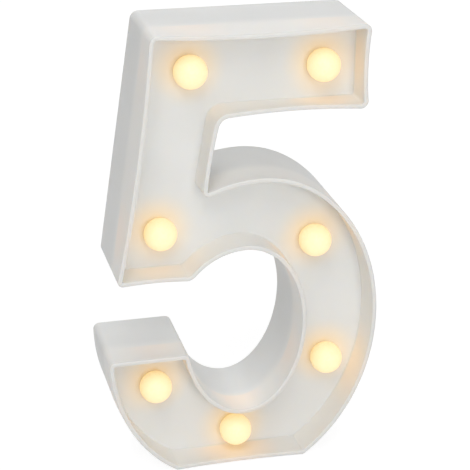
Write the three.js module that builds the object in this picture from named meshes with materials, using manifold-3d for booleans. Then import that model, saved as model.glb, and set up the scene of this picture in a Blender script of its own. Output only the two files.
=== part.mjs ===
// A light up marquee number five, 220 mm tall, that stands on its flat base or hangs from two keyholes.
// Millimetres. +X is right, +Y is back and +Z is up. The lamps face -Y.
// The pieces are drawn from the number's left end, its front rim and its base. The last group then
// moves them, so that the origin lies under the middle of the whole.
import * as THREE from 'three';
import { mergeVertices } from 'three/addons/utils/BufferGeometryUtils.js';
import Module from 'manifold-3d';

const wasm = await Module();
wasm.setup();

// Clearances
const gap = 0.3;
const overrun = 1;

// Overall
const width = 132;
const height = 220;
const depth = 45;

// Outline of the number. Places across it are shares of the width, and heights below the arm are
// shares of the arm's underside. The arm keeps its height, because the cells lie in it.
const armHeight = 40;
const baseLeftShare = 0.2485;
const baseRightShare = 0.7356;
const bowlCrownShare = 0.553;
const bowlLowerShare = 0.5576;
const bowlShoulderShare = 0.5303;
const notchShare = 0.3553;
const armLeftShare = 0.3985;
const armRightShare = 0.9295;
const stemTopShare = 0.1568;
const blockLeftShare = 0.0318;
const eyeCentreShare = 0.5;
const eyeAcrossShare = 0.2152;
const eyeShoulderShare = 0.2674;
const tailAcrossShare = 0.4189;
const bowlTopShare = 0.8322;
const eyeTopShare = 0.6356;
const blockBottomShare = 0.5622;
const waistShare = 0.4111;
const tailTopShare = 0.3472;
const tailWaistShare = 0.3367;
const eyeBottomShare = 0.1639;

// Rounded corners of the outline
const outerCorner = 3.5;
const innerCorner = 4.5;
const blockCorner = 3;
const tailCorner = 3;
const eyeCorner = 2.4;
const cornerSteps = 3;
const roundHandleShare = 0.55;

// Front housing
const wall = 1.8;
const rimRound = 0.6;
const rimBow = 1.8;
const compartmentDepth = 27.2;
const panelThickness = 1.8;
const bowMargin = 1;
const bowMiddleShare = 0.45;
const bowPower = 1.5;
const seatRibThickness = 1.2;
const seatRibReach = 1.4;

// Rear cover and its screws
const coverThickness = 1.8;
const screwHeadRadius = 2.6;
const screwHeadHeight = 1.7;
const screwRadius = 1.1;
const screwLength = 10;
const screwPoint = 1.6;
const driveWidth = 0.7;
const driveLength = 2.8;
const driveDepth = 0.9;
const headCrownShare = 0.6;
const headBrowShare = 0.93;
const headBrowHeightShare = 0.62;
const wellWall = 1.2;
const wellFloor = 1.5;
const headSink = 0.5;
const postRadius = 3;
const postInset = 7.5;
const postGusset = 0.8;
const postGussetReach = 2.2;
const postGussetDrop = 9;
const stemScrewShare = 0.44;
const topScrewAngle = 83;
const sideScrewAngle = 8;
const heelScrewAngle = -62;

// Globes
const globeRadius = 7.8;
const globeShell = 1.2;
const globeStandoff = 6;
const neckRadius = 4.6;
const neckBore = 3.3;
const neckEnd = 2.7;
const beadRadius = 5.3;
const beadLength = 1.2;
const beadPeakShare = 0.25;
const armLampLeft = 20.2;
const armLampRight = 19.1;
const armLeftLampDrop = 0.3;
const armRightLampDrop = 0.9;
const footLampOffset = 1.5;
const blockLampOffset = 1.6;
const lowerLampOffset = 1.3;
const footLampShare = 0.4535;
const tailLampShare = 0.694;
const blockLampShare = 0.485;
const upperLampAngle = 41;
const lowerLampAngle = -23.2;

// Light emitting diodes
const diodeRadius = 2.5;
const diodeLength = 11.8;
const flangeRadius = 3.6;
const flangeThickness = 0.8;
const legSide = 0.5;
const legLength = 2;
const legSpread = 2.54;

// Dry cells, size AA
const cellRadius = 7.1;
const cellLength = 50.5;
const nubRadius = 2.75;
const nubLength = 1.3;
const cellShoulder = 0.6;

// Battery bay, part of the rear cover
const bayWall = 1.2;
const bayFloor = 1.2;
const bayPitch = 15.1;
const bayFromArmEnd = 13.2;
const doorLedge = 0.8;
const dividerThickness = 0.8;
const dividerHeight = 3.8;
const railThickness = 0.8;
const railReach = 0.9;

// Battery contacts
const contactThickness = 0.4;
const contactWidth = 12.6;
const contactHeight = 13.6;
const dimpleRadius = 2;
const dimpleLength = 1.2;
const tabWidth = 3;
const tabLength = 3.4;
const springLength = 3.9;
const springWire = 0.7;
const springWideRadius = 4.4;
const springNarrowRadius = 2.4;
const springTurns = 2.5;

// Battery door
const doorThickness = 1.8;
const doorCorner = 1;
const tongueThickness = 1.6;
const tongueWidth = 6;
const tongueReach = 1;
const tongueRoot = 2;
const tongueSpacing = 36;
const latchWidth = 12;
const latchLength = 3.4;
const latchThickness = 1;
const latchNose = 0.5;
const gripLength = 16;
const gripHeight = 6;
const gripDepth = 0.8;
const gripRidge = 0.9;

// Slide switch
const switchLength = 12;
const switchWidth = 5.6;
const switchDepth = 5.3;
const switchTravel = 3;
const switchPlateLength = 20;
const switchPlateThickness = 0.5;
const switchBossHeight = 1.2;
const switchBossRadius = 1.9;
const switchHoleSpacing = 15.6;
const switchBelowArm = 5;
const knobLength = 3.6;
const knobWidth = 2.6;
const knobSink = 0.3;
const knobRidge = 0.5;
const sliderFootLength = 5.2;
const sliderFootWidth = 3;
const sliderFootHeight = 3;
const runClearance = 0.4;
const windowRecessLength = 13;
const windowRecessWidth = 8;
const windowRecessDepth = 0.8;
const pinWidth = 0.8;
const pinThickness = 0.5;
const pinLength = 2.6;
const pinSpacing = 2.5;
const switchScrewRadius = 0.75;
const switchScrewHead = 1.6;
const switchScrewHeadHeight = 1.3;
const switchScrewLength = 2.4;

// Keyholes in the rear cover
const keyholeRadius = 4;
const keyholeSlot = 4;
const keyholeRise = 9;
const keyholeBelowTop = 31;
const keyholeInset = 8;

// Wires
const wireRadius = 0.55;
const postClear = 9.5;
const leadBend = 3;
const wireSteps = 3;
const wireSides = 5;

// Places on the outline
const baseLeft = baseLeftShare * width;
const baseRight = baseRightShare * width;
const bowlCrown = bowlCrownShare * width;
const bowlLowerRadius = bowlLowerShare * width;
const bowlShoulderRadius = bowlShoulderShare * width;
const notchPlace = notchShare * width;
const armLeft = armLeftShare * width;
const armRight = armRightShare * width;
const stemTopLeft = stemTopShare * width;
const blockLeft = blockLeftShare * width;
const eyeCentre = eyeCentreShare * width;
const eyeRadius = eyeAcrossShare * width;
const eyeShoulderRadius = eyeShoulderShare * width;
const tailRadius = tailAcrossShare * width;
const armBottom = height - armHeight;
const bowlTop = bowlTopShare * armBottom;
const eyeTop = eyeTopShare * armBottom;
const blockBottom = blockBottomShare * armBottom;
const waistHeight = waistShare * armBottom;
const tailTop = tailTopShare * armBottom;
const tailWaist = tailWaistShare * armBottom;
const eyeBottom = eyeBottomShare * armBottom;

// Places along depth that several pieces share. The compartment behind the face panel keeps its
// depth, because the cells lie in it, and the tray takes the rest.
const trayDepth = depth - compartmentDepth - panelThickness;
const bowStart = trayDepth - bowMargin;
const panelBack = trayDepth + panelThickness;
const coverFront = depth - coverThickness;
const lampCentre = trayDepth - globeStandoff;
const diodeSeat = panelBack + neckEnd + gap;
const wireDepth = diodeSeat + flangeThickness + legLength + gap + wireRadius;
const wireRest = panelBack + gap + wireRadius;
const wellBack = depth - headSink - screwHeadHeight - gap;
const wellFront = wellBack - wellFloor;
const cellDepth = coverFront - gap - gap / 2 - cellRadius;
const bayFloorBack = cellDepth - cellRadius - gap;

// Places of the battery bay, seen from the front
const bayLength = cellLength + springLength + dimpleLength + 2 * contactThickness + 4 * gap;
const bayRight = armRight - bayFromArmEnd - bayWall;
const bayLeft = bayRight - bayLength;
const bayMiddle = (bayLeft + bayRight) / 2;
const bayHeight = (armBottom + height) / 2;
const bayLow = bayHeight - bayPitch;
const bayHigh = bayHeight + bayPitch;
const openingLeft = bayLeft - doorLedge;
const openingRight = bayRight + doorLedge;
const openingLow = bayLow - doorLedge;
const openingHigh = bayHigh + doorLedge;

// Moulding, metal and wire finishes
const finishes = {
  shell: { color: 0xf2f1ec, roughness: 0.42, metalness: 0 },
  cover: { color: 0xeeede8, roughness: 0.5, metalness: 0 },
  globe: { color: 0xfff3c8, roughness: 0.35, metalness: 0 },
  diode: { color: 0xf6d873, roughness: 0.15, metalness: 0 },
  screw: { color: 0xb9bbbf, roughness: 0.3, metalness: 1 },
  contact: { color: 0xd2d3d4, roughness: 0.28, metalness: 1 },
  cell: { color: 0x8c9096, roughness: 0.35, metalness: 0.6 },
  switchBody: { color: 0x33363a, roughness: 0.5, metalness: 0.2 },
  slider: { color: 0x1c1d1f, roughness: 0.45, metalness: 0 },
  redWire: { color: 0xb3241c, roughness: 0.5, metalness: 0 },
  blackWire: { color: 0x202124, roughness: 0.5, metalness: 0 },
};

// Solids and meshes
function toSolid(geometry) {
  const bare = geometry.clone();
  bare.deleteAttribute('normal');
  bare.deleteAttribute('uv');
  const merged = mergeVertices(bare);
  const corners = [];
  for (let first = 0; first < merged.index.count; first += 3) {
    const [a, b, c] = merged.index.array.subarray(first, first + 3);
    if (a !== b && b !== c && c !== a) corners.push(a, b, c);
  }
  return new wasm.Manifold(new wasm.Mesh({
    numProp: 3,
    vertProperties: new Float32Array(merged.attributes.position.array),
    triVerts: new Uint32Array(corners),
  }));
}

function toGeometry(solid) {
  const mesh = solid.getMesh();
  const geometry = new THREE.BufferGeometry();
  geometry.setAttribute('position', new THREE.BufferAttribute(mesh.vertProperties, 3));
  geometry.setIndex(new THREE.BufferAttribute(mesh.triVerts, 1));
  geometry.computeVertexNormals();
  return geometry;
}

function join(geometries) {
  return geometries.map(toSolid).reduce((whole, piece) => whole.add(piece));
}

function cut(solid, cutters) {
  return cutters.map(toSolid).reduce((left, cutter) => left.subtract(cutter), solid);
}

// Basic shapes, placed by their own faces
function block(left, right, front, back, low, high) {
  const geometry = new THREE.BoxGeometry(right - left, back - front, high - low);
  return geometry.translate((left + right) / 2, (front + back) / 2, (low + high) / 2);
}

function rod(x, z, radius, front, back, sides = 16) {
  const geometry = new THREE.CylinderGeometry(radius, radius, back - front, sides);
  return geometry.translate(x, (front + back) / 2, z);
}

function slab(points, front, back) {
  const shape = new THREE.Shape(points);
  const geometry = new THREE.ExtrudeGeometry(shape, { depth: back - front, bevelEnabled: false });
  return geometry.rotateX(Math.PI / 2).translate(0, back, 0);
}

function roundedPlate(left, right, low, high, radius, front, back) {
  const shape = new THREE.Shape();
  shape.moveTo(left + radius, low);
  shape.lineTo(right - radius, low);
  shape.absarc(right - radius, low + radius, radius, -Math.PI / 2, 0, false);
  shape.lineTo(right, high - radius);
  shape.absarc(right - radius, high - radius, radius, 0, Math.PI / 2, false);
  shape.lineTo(left + radius, high);
  shape.absarc(left + radius, high - radius, radius, Math.PI / 2, Math.PI, false);
  shape.lineTo(left, low + radius);
  shape.absarc(left + radius, low + radius, radius, Math.PI, 1.5 * Math.PI, false);
  const points = shape.getPoints(3);
  points.pop();
  return slab(points, front, back);
}

// Height of an ellipse's edge above its middle, at a distance across from that middle
function rise(across, radiusAcross, radiusUp) {
  return radiusUp * Math.sqrt(1 - (across / radiusAcross) ** 2);
}

// The number's edge as runs, anticlockwise seen from the front. Each run gives its curve, its steps,
// the share of the rim's bow that draws it in, the corner at its end and the seat ribs along it.
const bowlRise = bowlTop - waistHeight;
const eyeRise = eyeTop - waistHeight;
const eyeDrop = waistHeight - eyeBottom;
const lowerCentre = width - bowlLowerRadius;
const bowlDrop = waistHeight / rise(baseRight - lowerCentre, bowlLowerRadius, 1);
const tailDrop = tailWaist / rise(tailRadius - baseLeft, tailRadius, 1);
const notchHeight = waistHeight + rise(bowlCrown - notchPlace, bowlShoulderRadius, bowlRise);
const eyeBlockAngle = Math.PI - Math.asin((blockBottom - waistHeight) / eyeRise);
const eyeTailAngle = Math.asin((waistHeight - tailTop) / eyeDrop) - Math.PI;

function numberRuns() {
  const right = Math.PI / 2;
  const half = Math.PI;
  const point = (x, z) => new THREE.Vector2(x, z);
  const line = (from, to) => new THREE.LineCurve(from, to);
  const arc = (x, z, across, up, from, to, clockwise) => (
    new THREE.EllipseCurve(x, z, across, up, from, to, clockwise, 0));
  const baseAngle = -Math.asin(waistHeight / bowlDrop);
  const notchAngle = Math.acos((notchPlace - bowlCrown) / bowlShoulderRadius);
  const blockEnd = point(eyeCentre + eyeShoulderRadius * Math.cos(eyeBlockAngle), blockBottom);
  const tailStart = point(eyeCentre + eyeRadius * Math.cos(eyeTailAngle), tailTop);
  const tailAngle = half - Math.asin((tailTop - tailWaist) / tailDrop);
  const tailEnd = point(tailRadius + tailRadius * Math.cos(tailAngle), tailTop);
  const footAngle = half + Math.asin(tailWaist / tailDrop);
  const notch = point(notchPlace, notchHeight);
  const crook = point(armLeft, armBottom);
  const armEndLow = point(armRight, armBottom);
  const armEndHigh = point(armRight, height);
  const topLeft = point(stemTopLeft, height);
  const blockStart = point(blockLeft, blockBottom);
  const bowlAcross = width - bowlCrown;
  const lowerBowl = arc(lowerCentre, waistHeight, bowlLowerRadius, bowlDrop, baseAngle, 0, false);
  const upperBowl = arc(bowlCrown, waistHeight, bowlAcross, bowlRise, 0, right, false);
  const shoulder = arc(bowlCrown, waistHeight, bowlShoulderRadius, bowlRise, right, notchAngle, false);
  const eyeShoulder = arc(eyeCentre, waistHeight, eyeShoulderRadius, eyeRise, eyeBlockAngle, right, true);
  const eyeUpper = arc(eyeCentre, waistHeight, eyeRadius, eyeRise, right, 0, true);
  const eyeLower = arc(eyeCentre, waistHeight, eyeRadius, eyeDrop, 0, -right, true);
  const eyeLeft = arc(eyeCentre, waistHeight, eyeRadius, eyeDrop, -right, eyeTailAngle, true);
  const tail = arc(tailRadius, tailWaist, tailRadius, tailDrop, tailAngle, footAngle, false);
  return [
    { curve: line(point(baseLeft, 0), point(baseRight, 0)), steps: 5, bowShare: 0.5, corner: 0, ribs: 2 },
    { curve: lowerBowl, steps: 11, bowShare: 0, corner: 0, ribs: 3 },
    { curve: upperBowl, steps: 12, bowShare: 0, corner: 0, ribs: 3 },
    { curve: shoulder, steps: 3, bowShare: 0, corner: 0, ribs: 0 },
    { curve: line(notch, crook), steps: 3, bowShare: 0.3, corner: innerCorner, ribs: 1 },
    { curve: line(crook, armEndLow), steps: 5, bowShare: 0.8, corner: outerCorner, ribs: 2 },
    { curve: line(armEndLow, armEndHigh), steps: 4, bowShare: 0.5, corner: outerCorner, ribs: 1 },
    { curve: line(armEndHigh, topLeft), steps: 5, bowShare: 1, corner: outerCorner, ribs: 3 },
    { curve: line(topLeft, blockStart), steps: 6, bowShare: 1, corner: blockCorner, ribs: 3 },
    { curve: line(blockStart, blockEnd), steps: 3, bowShare: 0.4, corner: eyeCorner, ribs: 1 },
    { curve: eyeShoulder, steps: 4, bowShare: 0, corner: 0, ribs: 0 },
    { curve: eyeUpper, steps: 8, bowShare: 0, corner: 0, ribs: 1 },
    { curve: eyeLower, steps: 8, bowShare: 0, corner: 0, ribs: 1 },
    { curve: eyeLeft, steps: 8, bowShare: 0, corner: eyeCorner, ribs: 1 },
    { curve: line(tailStart, tailEnd), steps: 2, bowShare: 0, corner: tailCorner, ribs: 1 },
    { curve: tail, steps: 11, bowShare: 0.5, corner: 0, ribs: 2 },
  ];
}

const runs = numberRuns();

function atLeft(point, tangent, distance) {
  return new THREE.Vector2(point.x - tangent.y * distance, point.y + tangent.x * distance);
}

function runPoint(run, along) {
  const index = runs.indexOf(run);
  const previous = runs[(index + runs.length - 1) % runs.length];
  const length = run.curve.getLength();
  const from = previous.corner / length;
  const to = 1 - run.corner / length;
  const at = from + (to - from) * along;
  return { place: run.curve.getPointAt(at), tangent: run.curve.getTangentAt(at) };
}

// Closed edge of the number, with its straight runs drawn in by the bow. A plain edge has no steps
// along its straight runs.
function numberEdge(bow, plain = false) {
  const points = [];
  runs.forEach((run, index) => {
    const steps = plain && run.curve.isLineCurve ? 1 : run.steps;
    const last = run.corner > 0 ? steps : steps - 1;
    for (let step = 0; step <= last; step += 1) {
      const along = step / steps;
      const { place, tangent } = runPoint(run, along);
      points.push(atLeft(place, tangent, bow * run.bowShare * 4 * along * (1 - along)));
    }
    if (run.corner > 0) {
      const start = runPoint(run, 1).place;
      const end = runPoint(runs[(index + 1) % runs.length], 0).place;
      const tip = run.curve.getPointAt(1);
      const leaving = start.clone().lerp(tip, roundHandleShare);
      const arriving = end.clone().lerp(tip, roundHandleShare);
      const turn = new THREE.CubicBezierCurve(start, leaving, arriving, end);
      for (let step = 1; step < cornerSteps; step += 1) {
        points.push(turn.getPoint(step / cornerSteps));
      }
    }
  });
  return points;
}

function inset(points, distance) {
  return points.map((point, index) => {
    const before = points[(index + points.length - 1) % points.length];
    const after = points[(index + 1) % points.length];
    const arriving = point.clone().sub(before).normalize();
    const leaving = after.clone().sub(point).normalize();
    const along = arriving.clone().add(leaving).normalize();
    return atLeft(point, along, distance / along.dot(arriving));
  });
}

// A wall between closed rings of like points, from the back outside round the rim to the back inside
function ringWall(rings) {
  const count = rings[0].length;
  const positions = rings.flat().flatMap((point) => point.toArray());
  const indices = [];
  rings.forEach((ring, level) => {
    const next = (level + 1) % rings.length;
    for (let index = 0; index < count; index += 1) {
      const after = (index + 1) % count;
      const here = level * count;
      const there = next * count;
      indices.push(here + index, here + after, there + after);
      indices.push(here + index, there + after, there + index);
    }
  });
  const geometry = new THREE.BufferGeometry();
  geometry.setAttribute('position', new THREE.Float32BufferAttribute(positions, 3));
  geometry.setIndex(indices);
  return geometry;
}

function housingWall() {
  const ring = (deep, inwards) => {
    const share = Math.max(0, (bowStart - deep) / bowStart) ** bowPower;
    const edge = inset(numberEdge(rimBow * share), inwards);
    return edge.map((point) => new THREE.Vector3(point.x, deep, point.y));
  };
  const bowSteps = [bowStart, bowMiddleShare * bowStart];
  return ringWall([
    ring(depth, 0),
    ...bowSteps.map((deep) => ring(deep, 0)),
    ring(rimRound, 0),
    ring(0, rimRound),
    ring(0, wall - rimRound),
    ring(rimRound, wall),
    ...bowSteps.reverse().map((deep) => ring(deep, wall)),
    ring(depth, wall),
  ]);
}

// Places on the strokes: lamps and screw posts lie midway between the outline's two edges
function onBowl(degrees) {
  const angle = THREE.MathUtils.degToRad(degrees);
  const upper = degrees > 0;
  const outerCentre = upper ? bowlCrown : lowerCentre;
  const outerAcross = width - outerCentre;
  const outerUp = upper ? bowlRise : bowlDrop;
  const innerUp = upper ? eyeRise : eyeDrop;
  const across = (outerCentre + eyeCentre) / 2 + ((outerAcross + eyeRadius) / 2) * Math.cos(angle);
  return new THREE.Vector2(across, waistHeight + ((outerUp + innerUp) / 2) * Math.sin(angle));
}

function stemLeftAt(z) {
  return blockLeft + ((stemTopLeft - blockLeft) * (z - blockBottom)) / (height - blockBottom);
}

function stemRightAt(z) {
  return notchPlace + ((armLeft - notchPlace) * (z - notchHeight)) / (armBottom - notchHeight);
}

function stemMiddle(z) {
  return new THREE.Vector2((stemLeftAt(z) + stemRightAt(z)) / 2, z);
}

function tailMiddle(z) {
  const outer = tailRadius - rise(z - tailWaist, tailDrop, tailRadius);
  const inner = eyeCentre - rise(z - waistHeight, eyeDrop, eyeRadius);
  return new THREE.Vector2((outer + inner) / 2, z);
}

const armMiddle = (armBottom + height) / 2;
const blockLamp = stemMiddle(blockBottom + blockLampShare * (notchHeight - blockBottom));
blockLamp.x += blockLampOffset;
const lowerLamp = onBowl(lowerLampAngle);
lowerLamp.x += lowerLampOffset;

const lamps = {
  arm_right: new THREE.Vector2(armRight - armLampRight, armMiddle - armRightLampDrop),
  arm_left: new THREE.Vector2(stemTopLeft + armLampLeft, armMiddle - armLeftLampDrop),
  block: blockLamp,
  bowl_upper: onBowl(upperLampAngle),
  bowl_lower: lowerLamp,
  foot: new THREE.Vector2(eyeCentre - footLampOffset, footLampShare * eyeBottom),
  tail: tailMiddle(tailLampShare * tailWaist),
};
const screws = [
  new THREE.Vector2(stemLeftAt(height - postInset) + postInset, height - postInset),
  new THREE.Vector2(armRight - postInset, height - postInset),
  stemMiddle(notchHeight + stemScrewShare * (armBottom - notchHeight)),
  new THREE.Vector2(stemLeftAt(blockBottom + postInset) + postInset, blockBottom + postInset),
  onBowl(topScrewAngle),
  onBowl(sideScrewAngle),
  onBowl(heelScrewAngle),
  new THREE.Vector2(postInset, tailTop - postInset),
];

// Front housing: the walls, the face panel set back behind the rim, the screw posts and the seat ribs
function seatRibs() {
  const middle = (wall / 2 + wall + seatRibReach) / 2;
  const reach = wall / 2 + seatRibReach;
  const front = panelBack - panelThickness / 2;
  const back = coverFront - gap;
  return runs.flatMap((run) => Array.from({ length: run.ribs }, (_, index) => {
    const { place, tangent } = runPoint(run, (index + 0.5) / run.ribs);
    const centre = atLeft(place, tangent, middle);
    const geometry = new THREE.BoxGeometry(seatRibThickness, back - front, reach);
    geometry.rotateY(-Math.atan2(tangent.y, tangent.x));
    return geometry.translate(centre.x, (front + back) / 2, centre.y);
  }));
}

function screwPost(place) {
  const front = panelBack - panelThickness / 2;
  const back = wellFront - gap;
  const reach = postRadius + postGussetReach;
  const gussetBack = back - postGussetDrop;
  const half = postGusset / 2;
  return [
    rod(place.x, place.y, postRadius, front, back, 12),
    block(place.x - reach, place.x + reach, front, gussetBack, place.y - half, place.y + half),
    block(place.x - half, place.x + half, front, gussetBack, place.y - reach, place.y + reach),
  ];
}

function frontHousing() {
  const panel = slab(inset(numberEdge(0, true), wall / 2), trayDepth, panelBack);
  const lampHoles = Object.values(lamps).map((place) => (
    rod(place.x, place.y, neckRadius + gap, trayDepth - overrun, panelBack + overrun, 18)));
  const pilotFront = wellBack + gap - screwLength - overrun;
  const pilots = screws.map((place) => (
    rod(place.x, place.y, screwRadius + gap, pilotFront, wellFront + overrun, 8)));
  const body = join([housingWall(), panel, ...screws.flatMap(screwPost), ...seatRibs()]);
  return toGeometry(cut(body, [...lampHoles, ...pilots]));
}

// Globe: a frosted ball on a hollow neck that snaps through the face panel
function globe(place) {
  const profile = [];
  const shoulder = Math.acos((globeStandoff - gap) / globeRadius);
  const ballSteps = 6;
  for (let step = 0; step <= ballSteps; step += 1) {
    const angle = Math.PI + ((shoulder - Math.PI) * step) / ballSteps;
    profile.push([globeRadius * Math.sin(angle), globeRadius * Math.cos(angle)]);
  }
  const neckBack = globeStandoff + panelThickness + neckEnd;
  const beadFront = globeStandoff + panelThickness + gap;
  profile.push([neckRadius, globeStandoff - gap]);
  profile.push([neckRadius, beadFront]);
  profile.push([beadRadius, beadFront + beadLength * beadPeakShare]);
  profile.push([neckRadius, beadFront + beadLength]);
  profile.push([neckRadius, neckBack]);
  profile.push([neckBore, neckBack]);
  const inner = globeRadius - globeShell;
  const throat = Math.asin(neckBore / inner);
  const hollowSteps = 3;
  for (let step = 0; step <= hollowSteps; step += 1) {
    const angle = throat + ((Math.PI - throat) * step) / hollowSteps;
    profile.push([inner * Math.sin(angle), inner * Math.cos(angle)]);
  }
  const points = profile.map(([radius, back]) => new THREE.Vector2(Math.max(0, radius), back));
  points[0].x = 0;
  points[points.length - 1].x = 0;
  return new THREE.LatheGeometry(points, 16).translate(place.x, lampCentre, place.y);
}

// Diode: a domed lens with a flange behind the globe's neck, and two legs
function diode(place, across) {
  const profile = [[0, 0]];
  const domeSteps = 3;
  for (let step = 1; step <= domeSteps; step += 1) {
    const angle = (Math.PI * step) / (2 * domeSteps);
    profile.push([diodeRadius * Math.sin(angle), diodeRadius * (1 - Math.cos(angle))]);
  }
  profile.push([diodeRadius, diodeLength]);
  profile.push([flangeRadius, diodeLength]);
  profile.push([flangeRadius, diodeLength + flangeThickness]);
  profile.push([0, diodeLength + flangeThickness]);
  const lens = new THREE.LatheGeometry(profile.map((pair) => new THREE.Vector2(...pair)), 10);
  lens.translate(place.x, diodeSeat - diodeLength, place.y);
  const half = legSide / 2;
  const legs = [-1, 1].map((side) => {
    const centre = place.clone().addScaledVector(across, (side * legSpread) / 2);
    const front = diodeSeat + flangeThickness / 2;
    const back = diodeSeat + flangeThickness + legLength;
    return block(centre.x - half, centre.x + half, front, back, centre.y - half, centre.y + half);
  });
  return toGeometry(join([lens, ...legs]));
}

// Screws with a cross recess. The head faces back for a positive turn and front for a negative one.
function screw(x, z, seat, headRadius, headHeight, radius, length, turn) {
  const profile = [
    [0, headHeight],
    [headRadius * headCrownShare, headHeight],
    [headRadius * headBrowShare, headHeight * headBrowHeightShare],
    [headRadius, 0],
    [radius, 0],
    [radius, screwPoint - length],
    [0, -length],
  ].reverse();
  const body = new THREE.LatheGeometry(profile.map((pair) => new THREE.Vector2(...pair)), 10);
  const share = headRadius / screwHeadRadius;
  const slots = [0, Math.PI / 2].map((angle) => {
    const long = driveLength * share;
    const deep = driveDepth * share;
    const slot = new THREE.BoxGeometry(long, 2 * deep, driveWidth * share);
    return slot.rotateY(angle).translate(0, headHeight, 0);
  });
  const geometry = toGeometry(cut(toSolid(body), slots));
  if (turn < 0) geometry.rotateX(Math.PI);
  return geometry.translate(x, seat, z);
}

function coverScrew(place) {
  const seat = wellBack + gap;
  return screw(place.x, place.y, seat, screwHeadRadius, screwHeadHeight, screwRadius, screwLength, 1);
}

// Slide switch: its metal plate is screwed to two bosses inside the rear cover
const switchPlace = stemMiddle(armBottom - switchBelowArm);
const switchPlateBack = coverFront - switchBossHeight - gap;
const switchPlateFront = switchPlateBack - switchPlateThickness;
const switchFront = switchPlateFront - switchDepth;
const sliderBack = switchPlateFront - gap;
const slotHalf = (switchTravel + knobLength) / 2 + runClearance;

function switchBody() {
  const { x, y: z } = switchPlace;
  const halfLong = switchLength / 2;
  const halfWide = switchWidth / 2;
  const plateHalf = switchPlateLength / 2;
  const bodyBack = switchPlateFront + switchPlateThickness / 2;
  const pins = [-1, 0, 1].map((place) => {
    const middle = x + place * pinSpacing;
    const front = switchFront - pinLength;
    const root = switchFront + pinThickness;
    return block(middle - pinThickness / 2, middle + pinThickness / 2, front, root,
      z - pinWidth / 2, z + pinWidth / 2);
  });
  const solid = join([
    block(x - halfLong, x + halfLong, switchFront, bodyBack, z - halfWide, z + halfWide),
    block(x - plateHalf, x + plateHalf, switchPlateFront, switchPlateBack, z - halfWide, z + halfWide),
    ...pins,
  ]);
  const chamberHalf = (switchTravel + sliderFootLength) / 2 + runClearance;
  const chamberSide = sliderFootWidth / 2 + gap;
  const chamberFront = sliderBack - sliderFootHeight - gap;
  const slotSide = knobWidth / 2 + gap;
  const holes = [-1, 1].map((side) => {
    const middle = x + (side * switchHoleSpacing) / 2;
    return rod(middle, z, switchScrewRadius + gap, switchPlateFront - overrun,
      switchPlateBack + overrun, 10);
  });
  const backEnd = switchPlateBack + overrun;
  return toGeometry(cut(solid, [
    block(x - chamberHalf, x + chamberHalf, chamberFront, switchPlateFront,
      z - chamberSide, z + chamberSide),
    block(x - slotHalf, x + slotHalf, chamberFront, backEnd, z - slotSide, z + slotSide),
    ...holes,
  ]));
}

function switchSlider() {
  const x = switchPlace.x + switchTravel / 2;
  const z = switchPlace.y;
  const knobBack = depth - knobSink;
  const footFront = sliderBack - sliderFootHeight;
  const solid = join([
    block(x - sliderFootLength / 2, x + sliderFootLength / 2, footFront, sliderBack,
      z - sliderFootWidth / 2, z + sliderFootWidth / 2),
    block(x - knobLength / 2, x + knobLength / 2, footFront, knobBack,
      z - knobWidth / 2, z + knobWidth / 2),
  ]);
  const grooves = [-1, 0, 1].map((place) => {
    const left = x + (2 * place - 1 / 2) * knobRidge;
    return block(left, left + knobRidge, knobBack - knobRidge, knobBack + overrun,
      z - knobWidth, z + knobWidth);
  });
  return toGeometry(cut(solid, grooves));
}

function switchScrew(side) {
  const seat = switchPlateFront - gap;
  const x = switchPlace.x + (side * switchHoleSpacing) / 2;
  return screw(x, switchPlace.y, seat, switchScrewHead, switchScrewHeadHeight, switchScrewRadius,
    switchScrewLength, -1);
}

// Rear cover: the plate, the screw wells, the battery bay, the switch window and the keyholes
function screwWell(place) {
  const inside = screwHeadRadius + gap;
  return {
    cup: rod(place.x, place.y, inside + wellWall, wellFront, coverFront + coverThickness / 2, 14),
    hollow: rod(place.x, place.y, inside, wellBack, depth + overrun, 14),
    hole: rod(place.x, place.y, screwRadius + gap, wellFront - overrun, wellBack + overrun, 8),
  };
}

function bayRails() {
  const front = bayFloorBack - bayFloor / 2;
  const back = front + bayFloor / 2 + contactHeight;
  const inner = contactThickness + 2 * gap;
  const sides = [
    [bayLow - bayWall / 2, bayLow + railReach],
    [bayHeight - dividerThickness / 2 - railReach / 2, bayHeight + dividerThickness / 2 + railReach / 2],
    [bayHigh - railReach, bayHigh + bayWall / 2],
  ];
  return sides.flatMap(([low, high]) => [
    block(bayLeft + inner, bayLeft + inner + railThickness, front, back, low, high),
    block(bayRight - inner - railThickness, bayRight - inner, front, back, low, high),
  ]);
}

const keyholeLeft = stemLeftAt(height - keyholeBelowTop) + keyholeInset;
const keyholeRight = armRight - keyholeInset;

function keyhole(x) {
  const z = height - keyholeBelowTop;
  const front = coverFront - overrun;
  const back = depth + overrun;
  return [
    rod(x, z, keyholeRadius, front, back, 24),
    block(x - keyholeSlot / 2, x + keyholeSlot / 2, front, back, z, z + keyholeRise),
    rod(x, z + keyholeRise, keyholeSlot / 2, front, back, 16),
  ];
}

function contactSlot(z) {
  const front = tabDepth - gap;
  const back = tabDepth + contactThickness + gap;
  const half = tabWidth / 2 + gap;
  return block(bayLeft - bayWall - overrun, bayLeft + overrun, front, back, z - half, z + half);
}

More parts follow.
